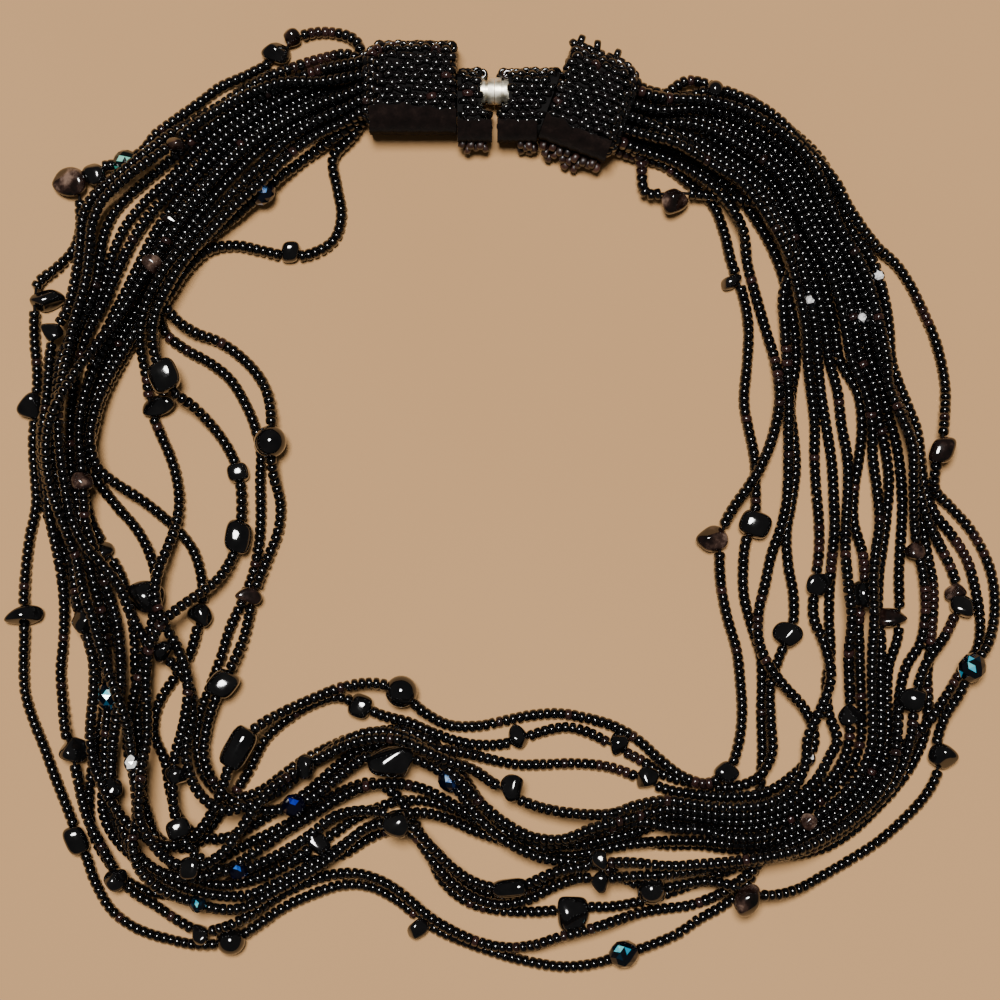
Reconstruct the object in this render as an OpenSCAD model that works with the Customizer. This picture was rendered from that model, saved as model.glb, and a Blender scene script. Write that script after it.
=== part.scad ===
/* [Strands] */
// Diameter of the seed beads, and so of each strand
seed_d = 2.1; // [1.6:0.1:2.3]
// Diameter of the thread inside the larger beads
thread_d = 0.6; // [0.4:0.1:0.7]
// Diameter of the hole drilled through each larger bead
bore_d = 1; // [0.9:0.1:1.2]
// Gap kept between neighbouring pieces
gap = 0.15; // [0.1:0.05:0.3]
// Longest straight stretch of a strand
ring_step = 9.5; // [8.5:0.5:12]
// Steepest climb of a strand over what it crosses, as height over length
climb = 0.55; // [0.45:0.05:0.8]

/* [End caps] */
// Height of the two woven end caps
cap_h = 11.4; // [11.4:0.1:12.4]
// Width of the left end cap
left_cap_w = 16.8; // [16.8:0.2:18]
// Width of the right end cap
right_cap_w = 18.4; // [18:0.2:20]
// Length of the left end cap
left_cap_l = 16; // [12:0.5:17]
// Length of the right end cap
right_cap_l = 13; // [10:0.5:14]
// Wall of the end caps around the ends of the strands
weave_t = 1.6; // [1.4:0.1:1.6]

/* [Clasp] */
// Width of the two narrow woven sleeves
sleeve_w = 13.4; // [12:0.2:14]
// Height of the sleeves
sleeve_h = 8.6; // [8.4:0.1:9.2]
// Diameter of the magnetic clasp
clasp_d = 5; // [4.6:0.1:5.2]
// Length of each half of the clasp
clasp_l = 5.5; // [4:0.5:6]

/* [Hidden] */
// Round shapes, and the low-sided ones of strands and cut crystals
$fn = 48;
strand_sides = 8;
crystal_sides = 8;
seed_r = seed_d / 2;
neck_l = 0.05;
// Extra height over a crossing, because strands lie aslant there
slope_share = 1.05;
// Share of a larger bead's width that is rounded off at its ends
bead_round = 0.2;

// Mouths of the caps, where the strands go in, and the way they face
left_mouth = [-24, 76.3];
left_turn = 180;
right_mouth = [22.5, 71.2];
right_turn = -20;
mouth_depth = 2.5;
mouth_lip = 1;
row_z = [3, 5.7, 8.4];
left_pitch = 2.25;
right_pitch = 2.5;
pocket_depth = 3;
edge_r = 3.2;

// Sleeves and clasp: centre lines, height of the axis, the seam between the halves and its notch
sleeve_y = 73.1;
clasp_y = 75.6;
clasp_z = 5.7;
seam_x = -1;
seam_gap = 0.1;
seam_open = 1;
right_sleeve_l = 14;
notch_l = 1.4;
notch_w = 4.2;

// Plan routes of the strands, from the left end cap round to the right end cap
route_01 = [
    [-27, 85.5], [-32, 87], [-37.5, 86], [-41.5, 82], [-47, 79], [-52, 76.8], [-56, 73.8],
    [-60, 71], [-64, 68], [-66.5, 64.8], [-70, 62.6], [-74, 61.8], [-78, 59], [-78, 54.6],
    [-78.1, 50.2], [-79.3, 46.6], [-82.3, 43.3], [-86, 40], [-86.5, 35], [-86.5, 29], [-86, 23],
    [-86.3, 17], [-86.8, 10], [-86.5, 4], [-86.3, -1], [-87.5, -7], [-88.2, -13], [-88.5, -19],
    [-88.4, -25], [-88.6, -31], [-88.3, -36], [-86.8, -41], [-84.8, -46], [-83, -51], [-81, -56],
    [-79, -61], [-77, -66], [-75.3, -71], [-72.5, -76], [-68, -79.5], [-62, -81.6], [-56, -82.6],
    [-50, -81.8], [-45.5, -79.3], [-40.5, -76], [-35, -73.4], [-29, -71.6], [-24, -72],
    [-19.5, -74.2], [-15.5, -77.3], [-11, -80.3], [-6, -82.4], [0, -84.5], [6, -86], [12, -86.8],
    [18, -86], [23, -84.3], [28, -82.7], [33, -80.7], [37, -78], [41.5, -75.5], [45.5, -72],
    [48, -67], [48.5, -60], [48.5, -53], [48.8, -46], [48.6, -40], [48.7, -34], [48.5, -29],
    [46.8, -23.5], [45.4, -18], [45.2, -13], [45.6, -8], [47.3, -3], [47.5, 3], [47.3, 8],
    [46.3, 13], [45.4, 18], [46, 26], [46.2, 32], [45.2, 38], [43.1, 44], [41.6, 50], [39.5, 55],
    [35.5, 58.5], [30, 62.5], [25.6, 63.5]
];
route_13 = [
    [-28, 79.5], [-34, 78.5], [-40, 76], [-46, 72.5], [-51.5, 69], [-56.5, 65], [-61, 60],
    [-65.8, 55.6], [-69.7, 50.8], [-72, 45.8], [-73.4, 41], [-75.2, 36.6], [-77.5, 32], [-80, 27],
    [-82.5, 21], [-84.5, 15], [-85, 9], [-84.8, 3], [-84, -3], [-81.8, -8], [-79.9, -13],
    [-79, -18], [-77.5, -24], [-75.5, -28.5], [-74, -33], [-73.8, -39], [-75, -45], [-76, -51],
    [-76.5, -56], [-76, -61], [-74, -65.5], [-71, -69.5], [-66.5, -72.5], [-61, -73.5],
    [-55.5, -73.5], [-50, -71], [-45, -68.5], [-39.5, -66.3], [-34, -67], [-29, -65.8],
    [-25, -63.3], [-20.5, -61.5], [-16, -62.3], [-12, -65.3], [-8.5, -69.2], [-4.5, -72.3],
    [0.5, -73.6], [5.5, -72.6], [10, -69.8], [14.5, -66.8], [19.5, -64.5], [25, -63.6], [31, -64.2],
    [37, -64.2], [43, -64.8], [49, -64.5], [56.3, -62.5], [63, -58.9], [68.3, -54], [71.3, -48.5],
    [72.2, -42], [72, -36], [72.3, -31], [74, -25.5], [74.3, -20], [74.2, -14], [74.5, -8],
    [74.8, -2], [74.6, 4], [73.8, 10], [72.3, 15.5], [70.8, 21.5], [69, 26], [67.8, 32], [66.2, 38],
    [63.8, 44], [60.3, 50], [54.2, 62], [46, 68.3], [38, 71.3], [28.9, 72.8]
];
route_09 = [
    [-28, 76.5], [-34, 75.5], [-40, 73], [-46, 69.5], [-51.5, 65], [-56.5, 60], [-60.5, 55],
    [-64, 50], [-67, 44], [-70, 38], [-73, 32], [-75.5, 26], [-77, 20], [-78, 14], [-78, 8],
    [-77.3, 2], [-76, -4], [-73.3, -9], [-70.5, -14], [-69, -19], [-68, -25], [-67.8, -31],
    [-67.5, -37], [-67.3, -43], [-66.6, -49], [-66.3, -55], [-65.5, -60], [-62, -64], [-57, -64.5],
    [-53.5, -60.5], [-50, -55.5], [-46.5, -50], [-44, -45], [-40.5, -41.5], [-35.5, -38.3],
    [-30, -36.6], [-25.5, -38.5], [-21, -40.3], [-17, -41.3], [-12.5, -43.3], [-7.5, -45],
    [-2.5, -45.6], [2.5, -45], [7.5, -43.2], [12.5, -42.3], [17, -43.5], [21.5, -46], [26, -48.3],
    [31, -51.3], [37, -52.8], [43, -53.3], [47.8, -51.5], [50.4, -47], [50.2, -41], [50.2, -35],
    [52, -29], [54.3, -24], [54.6, -18], [53.6, -12], [53.3, -6], [54.3, 0], [55, 6], [54.6, 12],
    [54, 17], [55, 26], [54.7, 32], [53.5, 38], [51.8, 44], [48.9, 50], [43.5, 57.4], [38, 61],
    [32.5, 64.5], [26.5, 66]
];
route_12 = [
    [-28, 74], [-34, 72.5], [-40, 69], [-45.5, 65], [-50.5, 60], [-55, 55], [-59, 49.5],
    [-62.5, 44], [-66, 38], [-69.5, 32], [-72.5, 26], [-75, 20], [-76.6, 14], [-76.4, 8],
    [-74.4, 3], [-71, -1.5], [-68.3, -4.5], [-66, -8], [-64.3, -12], [-63.5, -17], [-64.5, -23],
    [-66, -29], [-67.5, -35], [-68.8, -41], [-69, -46], [-68, -51], [-66, -56], [-64.5, -61],
    [-62.5, -65.5], [-59, -69], [-54.5, -71], [-49.5, -71.3], [-44, -69.8], [-39, -67.3],
    [-35.5, -64.8], [-31, -62], [-27, -59.3], [-23, -57.3], [-18.5, -56], [-14, -56], [-9, -57.5],
    [-4, -60], [1, -62.7], [6, -65], [11.5, -66], [17, -65.3], [23, -64], [30, -63.3], [37, -63.2],
    [43, -63.6], [49, -63.4], [56, -61.4], [62.5, -57.8], [67.3, -52.9], [70.2, -47.3], [70.7, -41],
    [70.6, -35], [70.8, -26], [70.3, -20], [70.5, -14], [71.3, -8], [72, -2], [72.3, 4], [71.5, 10],
    [70.3, 15.5], [69.5, 21], [67, 26], [66, 32], [64.4, 38], [62.2, 44], [58.7, 50], [52.8, 61.3],
    [45, 67.2], [37, 70.5], [28.2, 70.8]
];
route_08 = [
    [-28, 71], [-33.5, 68.5], [-39, 65.5], [-43.5, 61.5], [-48, 57], [-52.5, 52.5], [-56.5, 48],
    [-60, 43], [-63, 37.5], [-62.5, 31.5], [-58.5, 28], [-54, 25.5], [-50.3, 22.5], [-47.7, 18.5],
    [-45.7, 14], [-44.5, 9], [-44.6, 3], [-44.5, -2], [-44.8, -8], [-46, -14], [-48, -19],
    [-50.3, -24], [-51.8, -29], [-53.8, -34.5], [-55.8, -40], [-56.3, -46], [-54.8, -51.5],
    [-50.8, -55], [-45.5, -54.5], [-41.5, -52], [-37.5, -49], [-33, -46.5], [-28.5, -44.5],
    [-24, -43.3], [-18.5, -42.8], [-13, -44.8], [-8.5, -49], [-5.5, -53.5], [-1.8, -58.5],
    [3, -61.8], [8.5, -63.5], [14, -63.8], [19.5, -62.8], [25, -61.5], [31, -59.8], [37, -60.1],
    [43, -61], [49, -60.5], [55.5, -58.4], [61, -54.8], [65, -50.3], [67, -45], [67.2, -39.5],
    [67, -34], [66.8, -28], [66.5, -22], [67.5, -16], [67.3, -10], [65.8, -4], [65.9, 2], [66.8, 8],
    [67.3, 14], [66.5, 20], [63.2, 26], [62.2, 32], [60.8, 38], [58.8, 44], [55.4, 50], [49.8, 60],
    [42, 65.3], [35, 69.5], [27.5, 68.8]
];
route_14 = [
    [-27.5, 67.5], [-31, 63.5], [-30.3, 58], [-29.5, 53], [-30.8, 48.5], [-34.5, 46], [-39, 45.3],
    [-44, 46.3], [-49, 47.3], [-54, 46.5], [-58, 43], [-61, 38.5], [-64.5, 34], [-68, 29.5],
    [-71, 24.5], [-73.7, 19], [-75.2, 13], [-76.3, 7], [-77, 1], [-76.8, -5], [-75.5, -11],
    [-74, -16.5], [-72.3, -22], [-71, -27.5], [-70.7, -33], [-71.5, -39], [-72.7, -44], [-73, -50],
    [-74, -56], [-72.8, -61], [-69, -65.5], [-64.5, -68.5], [-59.5, -69.5], [-54, -67.5],
    [-49, -65], [-44, -62.5], [-39, -60], [-34, -57], [-29, -54], [-24, -52.5], [-19.5, -54.5],
    [-16, -59.5], [-13.4, -65], [-10.6, -70.8], [-6.3, -74.6], [-1, -76.2], [5, -76.6],
    [10.5, -76.2], [15.5, -75.6], [20.5, -75.6], [26, -74.7], [31, -73.2], [36, -71.4], [41, -69.2],
    [46, -67.4], [50.5, -66.3], [55.5, -65.9], [61, -64.4], [65.5, -61.6], [70, -57.4], [74, -53],
    [77, -48.5], [79, -43.5], [79.7, -38], [79.5, -33], [80, -28], [80.5, -22], [80.6, -16],
    [79.5, -10], [78.5, -4], [77.5, 2], [77.2, 8], [76.3, 13], [74.6, 18], [72, 26], [71.2, 32],
    [70, 38], [68, 44], [64.3, 50], [58, 63.6], [49.5, 70.8], [41.5, 74.4], [29.9, 75.5]
];
route_03 = [
    [-28, 82.5], [-34, 81.7], [-40, 79.5], [-46, 77], [-51, 74], [-56, 71], [-61, 68], [-65, 64.5],
    [-69.4, 61], [-73, 58.3], [-76, 55.4], [-77.5, 52], [-77.8, 48], [-78.2, 44], [-78.9, 39.8],
    [-80, 35.5], [-82.3, 31], [-83.3, 26], [-83.5, 21], [-84, 15], [-84.3, 9], [-83.8, 3],
    [-83.5, -3], [-82.3, -9], [-81.3, -15], [-81, -21], [-81.3, -27], [-81.7, -32], [-81.2, -38],
    [-80.5, -43], [-78.8, -49], [-77.8, -54], [-76.5, -59], [-74, -64], [-71.5, -68.5],
    [-68, -72.7], [-64, -75.2], [-60, -78], [-55.5, -80], [-51, -79], [-46, -76.7], [-41.5, -73.8],
    [-37, -71.5], [-32, -69.8], [-27, -69.3], [-22, -70.7], [-18, -73.2], [-13.5, -77], [-9, -79.8],
    [-4, -82], [1, -83], [6, -82.5], [11, -80.8], [16, -79.5], [21, -78], [26, -76.7], [31, -76],
    [36, -75.2], [41, -73], [45.5, -69.6], [50, -65.4], [56, -62.4], [62.5, -58.7], [67.8, -54.3],
    [71.8, -49.4], [75.5, -45.2], [79.3, -41.2], [82.8, -36.4], [86, -31.5], [88.8, -27.5],
    [89.3, -22.5], [88.5, -17], [86.8, -11], [84, -6.5], [80.8, -2.5], [78.7, 2.5], [78, 8],
    [77.3, 13], [75.4, 18], [72.6, 26], [72.2, 32], [71.2, 38], [69.3, 44], [65.3, 50],
    [59.3, 63.3], [51, 70.5], [43, 75], [35, 77.8], [29.6, 74.7]
];
route_05 = [
    [-28, 78.3], [-34, 77], [-40, 74.5], [-46, 71], [-51.5, 67], [-56, 62.5], [-60.5, 58],
    [-64.8, 53.3], [-68.3, 48.2], [-70.9, 42.8], [-73, 37.6], [-76.5, 31], [-78.5, 25], [-79.5, 19],
    [-79.8, 13], [-79.5, 7], [-78.5, 1], [-77.3, -5], [-76.3, -11], [-75, -17], [-73.8, -22],
    [-73, -27], [-72.7, -32], [-72.5, -38], [-73, -44], [-73.2, -50], [-72.5, -56], [-70.5, -61],
    [-67.5, -65.5], [-63.5, -69], [-58.5, -71.5], [-53, -73], [-47, -73.2], [-41.5, -71],
    [-36, -68.2], [-30.5, -65], [-25.5, -61.5], [-20.5, -58.8], [-15, -57.8], [-10, -59],
    [-5, -61.3], [0, -63], [5, -64.3], [10, -64], [15, -62.3], [20, -60.8], [26, -59.8],
    [31, -58.4], [37, -59], [43, -59.6], [49, -59], [55, -56.9], [60, -53.2], [63.3, -49],
    [64.8, -44.5], [65, -39.5], [64.8, -34], [64.5, -28], [64.8, -22], [64.2, -16], [63.8, -10],
    [64.2, -4], [64.6, 2], [64.5, 8], [63.5, 14], [62.8, 20], [61.2, 26], [60.3, 32], [59, 38],
    [57, 44], [53.7, 50], [48.2, 59], [40.8, 64], [34, 67.5], [27, 67.4]
];
route_06 = [
    [-28, 75.5], [-34, 74.2], [-40, 71.5], [-45.5, 68], [-50.5, 63.5], [-55, 58.5], [-59.5, 53.5],
    [-63, 48], [-66, 42], [-69, 36], [-72, 30.5], [-75, 25], [-77, 19], [-77.7, 13], [-77.2, 7],
    [-76.7, 1], [-76.4, -4], [-75, -9], [-73.5, -14], [-72, -19], [-70.7, -24], [-70, -29],
    [-69.8, -34], [-70.5, -40], [-71.5, -46], [-71.8, -52], [-70.8, -57.5], [-68.7, -62.5],
    [-65.5, -66.5], [-61, -69], [-55.5, -69.5], [-50, -68], [-45, -65], [-40, -61.5], [-35, -58.5],
    [-30, -55.3], [-25, -53], [-19.5, -52.5], [-14, -53.7], [-9.5, -56], [-5, -58.7], [0, -61],
    [5.5, -62.8], [11, -63], [16, -61.3], [21, -60], [26.5, -59.3], [32, -60.6], [37.5, -61],
    [43, -62.4], [49, -62], [55.5, -60], [61.5, -56.4], [66, -51.6], [68.6, -46], [69, -40],
    [68.8, -34], [68.8, -28], [69, -22], [68.7, -16], [69.3, -10], [70.3, -4], [70, 2], [69.2, 8],
    [69, 14], [67.8, 20], [65.2, 26], [64.1, 32], [62.6, 38], [60.5, 44], [57, 50], [51.2, 60.7],
    [43.5, 66.2], [36, 69.3], [27.8, 69.5]
];
route_07 = [
    [-28, 72.7], [-34, 71], [-40, 68.3], [-45, 64.5], [-49.5, 60], [-54, 55], [-58, 50],
    [-61.5, 44.5], [-64, 39], [-66.5, 33.5], [-69.5, 28], [-72.5, 22.5], [-74.6, 17], [-75.5, 11],
    [-74.3, 6], [-71, 3], [-66.5, 0], [-62.5, -3.3], [-59.3, -6.3], [-57, -9.5], [-55.6, -14],
    [-55.3, -19], [-56.3, -24], [-57.8, -29], [-60.8, -33.5], [-63.5, -38], [-64.3, -43.5],
    [-62.3, -48.5], [-61.3, -54], [-59.5, -59], [-56, -62.3], [-51, -62.7], [-46, -60.5],
    [-41, -57.5], [-36, -54.5], [-32, -51], [-27, -47], [-22, -45.5], [-17, -45], [-12, -46],
    [-7, -46.8], [-2, -48.2], [3, -49.2], [8, -49.2], [14, -49], [20, -49.6], [25, -51.3],
    [31, -53.8], [37, -54.7], [43, -55], [49, -54.3], [53.8, -51.5], [57.3, -48], [58.5, -44],
    [56.5, -38.8], [53, -34.8], [50, -31], [48, -26.5], [48, -21], [49.3, -15.5], [50.5, -10],
    [52.2, -5], [53.2, 0], [53.5, 6], [53.5, 12], [53.6, 18], [53.2, 26], [52.8, 32], [52.5, 38],
    [54, 43], [54.5, 48], [52.5, 52.5], [48, 54.8], [43, 56], [37.5, 56.6], [32, 57], [27, 57],
    [25.7, 63.9]
];
route_02 = [
    [-28, 69], [-34, 65], [-40, 60.5], [-44, 57], [-48.5, 53], [-53, 49.5], [-57.5, 46], [-61, 42],
    [-62.5, 38], [-60.5, 34], [-57, 31.3], [-52, 29.3], [-47, 25.5], [-43.7, 21], [-42.4, 16],
    [-42.5, 11], [-42, 5], [-40.8, -1], [-41.3, -6], [-43.2, -11], [-45.2, -16], [-46.5, -21],
    [-47.7, -26], [-49.8, -31], [-52.5, -36.5], [-54.3, -42], [-54.8, -47.5], [-53, -52],
    [-49, -55.8], [-44, -57.3], [-39, -56.8], [-34, -54.5], [-29, -50.5], [-24.5, -47.3],
    [-19.5, -46.5], [-14, -48.5], [-9.5, -51.5], [-6, -56], [-2.5, -60], [2, -63.5], [7, -65.8],
    [12.5, -66.7], [18, -67.7], [23, -70], [28, -72], [33, -71.3], [38.5, -70.5], [44, -71.5],
    [49.5, -73], [55, -72.2], [60, -69.8], [65, -67], [70, -63.8], [75, -59.5], [79, -55],
    [81.2, -50.5], [81, -45.5], [82.5, -40], [85, -36], [87.3, -31], [90.5, -26.5], [92, -21],
    [91.7, -15], [90.3, -10.5], [87.5, -5.5], [84, -1.5], [80.8, 2], [80.7, 6], [81.8, 11],
    [82.5, 16], [82.8, 21], [82, 26], [80.5, 31], [78.5, 35.5], [76.3, 40], [73.5, 44], [70, 47],
    [67, 50.5], [64.3, 54.5], [62.3, 58.5], [59, 62.5], [55, 66.8], [50.5, 71.2], [45, 74.3],
    [39.5, 75.9], [28.8, 72.6]
];
route_04 = [
    [-28, 80.5], [-34, 79.5], [-40, 77], [-46, 74], [-52, 70.5], [-57, 67], [-61.5, 63],
    [-66, 59.2], [-69.6, 56], [-72.3, 52.7], [-73.7, 49], [-74.4, 45], [-75, 40.5], [-76.5, 36],
    [-79, 31], [-81, 26], [-81.5, 20], [-82, 14], [-82.3, 8], [-81.5, 2], [-80.5, -4], [-79.5, -10],
    [-78.7, -16], [-77.8, -21], [-76.2, -25.5], [-74.9, -30], [-74.7, -35], [-75.3, -40],
    [-75.5, -45], [-74.5, -50], [-72, -55], [-69, -59], [-65.5, -62], [-61, -64], [-56.5, -62],
    [-53, -57.5], [-51, -52.5], [-49.5, -48], [-47.3, -44], [-43.5, -41], [-39, -38.7],
    [-34, -36.5], [-29, -34.6], [-23.5, -33.9], [-18.5, -35.3], [-14.5, -39], [-9.5, -41.8],
    [-4, -42], [1, -41], [6, -40], [11, -39.7], [16, -40.5], [21, -42], [25.5, -44.5], [29.5, -48],
    [34, -51.3], [38.5, -52.5], [42.5, -50], [44.3, -45.5], [45, -40], [44.7, -34], [44, -28],
    [42.3, -22], [41.1, -16], [40.8, -10], [41.5, -5], [43.5, -1], [46, 2.5], [48.5, 6.5],
    [50.5, 11.5], [51.6, 17], [51.6, 22], [50.9, 26.5], [49.3, 32], [47.6, 38], [46, 44], [45, 50],
    [41.2, 56.2], [37, 59.8], [31.5, 63], [26, 64.7]
];
route_16 = [
    [-28, 78], [-34, 77.3], [-40, 77.3], [-46, 75.3], [-52, 72.3], [-57, 69], [-61.5, 65],
    [-66.2, 61.4], [-70.4, 58.2], [-73.7, 55], [-75.4, 51], [-75.9, 46.5], [-76.4, 42],
    [-77.3, 37.6], [-78.5, 33.5], [-79.5, 27.5], [-80.5, 21.5], [-81, 15], [-80.7, 9], [-80, 3],
    [-79, -3], [-76.5, -8], [-73, -12], [-70, -16], [-68, -21], [-65.5, -25.5], [-62.5, -28.5],
    [-59.5, -31.5], [-57.3, -35.5], [-57, -40.5], [-58, -45], [-57.3, -50], [-54.8, -54.5],
    [-50.5, -57], [-46, -56], [-42, -54.3], [-38, -51.5], [-34, -48.3], [-29.5, -45], [-25, -43],
    [-20, -42.7], [-15.5, -44.5], [-11, -48], [-7, -52], [-3, -56.3], [1, -59.5], [6, -62],
    [11.5, -62.2], [16.5, -60.3], [22, -58.8], [28, -57.5], [31, -57], [37, -57.6], [43, -58.1],
    [49, -57.5], [54.5, -55.3], [58.7, -51.5], [61, -47.5], [62.5, -44.5], [61, -39.5], [60.7, -34],
    [61.5, -28.5], [61.2, -23], [61.3, -17], [61.6, -11], [62, -5], [62, 1], [61.7, 7], [60.8, 13],
    [59.8, 19], [59, 26], [58.4, 32], [57.2, 38], [55.3, 44], [52, 50], [46.3, 58.8], [39.5, 63.2],
    [33, 66.5], [27.7, 69.3]
];
route_15 = [
    [-28, 75], [-34, 73], [-40, 70], [-46, 66], [-51, 61.5], [-55.5, 56.5], [-59.5, 51],
    [-63.5, 45.5], [-67, 39.5], [-70.5, 34], [-74, 29], [-77.5, 24], [-80.5, 18.5], [-82.7, 12.5],
    [-83, 6], [-81.8, 0], [-80, -5.5], [-78.2, -11], [-76.8, -16.5], [-75, -21.5], [-73.7, -26.5],
    [-72, -31.5], [-69.8, -36.5], [-68.4, -41.5], [-67.8, -47], [-67, -52.5], [-66.6, -58],
    [-67.3, -63], [-66, -68], [-62, -71.8], [-57, -74], [-52, -75.5], [-47, -75.2], [-42.5, -72.7],
    [-37.5, -70], [-32.5, -67], [-28.5, -63.7], [-24.5, -60.5], [-20, -59.7], [-15.8, -62],
    [-12.5, -66.5], [-9.3, -70.5], [-5, -73.6], [0, -75], [5.5, -74], [10, -71.7], [14.5, -70],
    [19, -69.8], [24.5, -69.2], [31, -68.8], [37, -68.3], [43, -67.3], [49, -66], [57, -64.2],
    [64.3, -60.7], [69.9, -56], [73.7, -50.8], [75.8, -44.8], [76.8, -38.5], [78, -33],
    [79.5, -29.5], [83, -24.5], [85.3, -18.5], [84, -13], [81.5, -8], [79, -3], [77.3, 3],
    [76.3, 9], [75, 14.5], [73, 19.5], [70.6, 26], [69.5, 32], [67.8, 38], [65.4, 44], [61.8, 50],
    [55.5, 62.8], [47.2, 69.2], [39, 72.5], [28.7, 72]
];
route_11 = [
    [-28, 72.5], [-34, 70], [-40, 66], [-45, 61], [-49.5, 56.5], [-54, 52], [-58.5, 47],
    [-62.5, 41.5], [-65.5, 35.5], [-66.5, 29], [-65.6, 23], [-64.9, 17], [-63, 12], [-61.3, 8],
    [-60, 3.5], [-59.6, -1], [-60.2, -5], [-61.5, -9], [-63, -13], [-63.5, -17.5], [-62, -22.5],
    [-59.7, -27], [-57.9, -32], [-57.7, -37], [-58.6, -42], [-60, -47], [-60.4, -52], [-60, -57.5],
    [-58.3, -62.5], [-54.5, -66.5], [-49.5, -68.5], [-44, -67], [-39, -64.5], [-34.5, -61.5],
    [-30.5, -58.5], [-26, -57.3], [-21, -57.6], [-16.5, -59.8], [-12.7, -63.8], [-9.2, -67.5],
    [-5, -70.5], [0, -71.9], [5, -71], [9, -69], [14, -67.8], [19.5, -66.8], [25, -66.6],
    [31, -67.2], [37, -66.9], [43, -66.3], [49, -65.4], [56.8, -63.4], [63.8, -59.8], [69.3, -54.8],
    [72.5, -49.2], [73.6, -42.5], [74.2, -36.5], [75.5, -31], [78.2, -26.5], [79, -20], [78.6, -14],
    [77.3, -8], [76.5, -2], [76.3, 4], [76, 10], [74, 15.5], [71.8, 21], [71.5, 26], [70.4, 32],
    [69, 38], [66.8, 44], [63.2, 50], [56.8, 63.4], [48.2, 70.3], [40, 73.6], [29.5, 74.3]
];
route_10 = [
    [-28, 70], [-34, 67.3], [-39.5, 63], [-44, 58.5], [-48.5, 54.5], [-53, 50], [-57.5, 45],
    [-61, 39.5], [-63.5, 34], [-64, 29], [-62.7, 24], [-60.3, 20], [-57, 17.5], [-53.7, 14],
    [-50.8, 10], [-48.8, 5.5], [-48, 0], [-48.3, -6], [-49.8, -11], [-52.2, -14.7], [-55.5, -17.3],
    [-59, -19.8], [-62, -22.5], [-64.5, -27], [-65.3, -32], [-65.2, -38], [-65, -44],
    [-65.7, -48.5], [-66, -53], [-66, -58], [-64.3, -62], [-61, -66], [-56.5, -67.5],
    [-51.5, -65.3], [-48, -61], [-45, -56.5], [-42, -53], [-38, -50.3], [-33, -47.5], [-28, -45],
    [-23, -43.7], [-18, -44], [-13.5, -46], [-9, -48], [-5, -49.5], [-1.5, -52], [3, -55],
    [8, -56.8], [14, -57.7], [20, -57.5], [25, -56], [31, -55.3], [37, -56.2], [43, -56.6],
    [49, -55.9], [54, -53.3], [56.5, -49], [57, -44], [59.5, -38.5], [61.3, -33], [60.3, -27],
    [58.3, -22], [58.5, -16], [59.3, -10], [59.3, -4], [58.8, 2], [58.5, 8], [58.5, 14], [57.8, 20],
    [57, 26], [56.5, 32], [55.3, 38], [53.6, 44], [50.5, 50], [45, 58], [38.8, 62], [32.5, 65.5],
    [26.9, 67.1]
];

// Strands in stacking order: name, route, row, column at the left cap, column at the right cap.
// Columns count from the outer edge of the loop to its inner edge.
STRANDS = [
    ["strand_01", route_01, 0, 0, 5],
    ["strand_02", route_13, 0, 1, 1],
    ["strand_03", route_09, 0, 2, 4],
    ["strand_04", route_12, 0, 3, 2],
    ["strand_05", route_08, 0, 4, 3],
    ["strand_06", route_14, 0, 5, 0],
    ["strand_07", route_03, 1, 0, 0],
    ["strand_08", route_05, 1, 1, 3],
    ["strand_09", route_06, 1, 2, 2],
    ["strand_10", route_07, 1, 3, 4],
    ["strand_11", route_02, 1, 4, 1],
    ["strand_12", route_04, 2, 0, 4],
    ["strand_13", route_16, 2, 1, 2],
    ["strand_14", route_15, 2, 2, 1],
    ["strand_15", route_11, 2, 3, 0],
    ["strand_16", route_10, 2, 4, 3]
];
row_columns = [6, 5, 5];
NAME = 0;
ROUTE = 1;
ROW = 2;
LEFT_COLUMN = 3;
RIGHT_COLUMN = 4;

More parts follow.
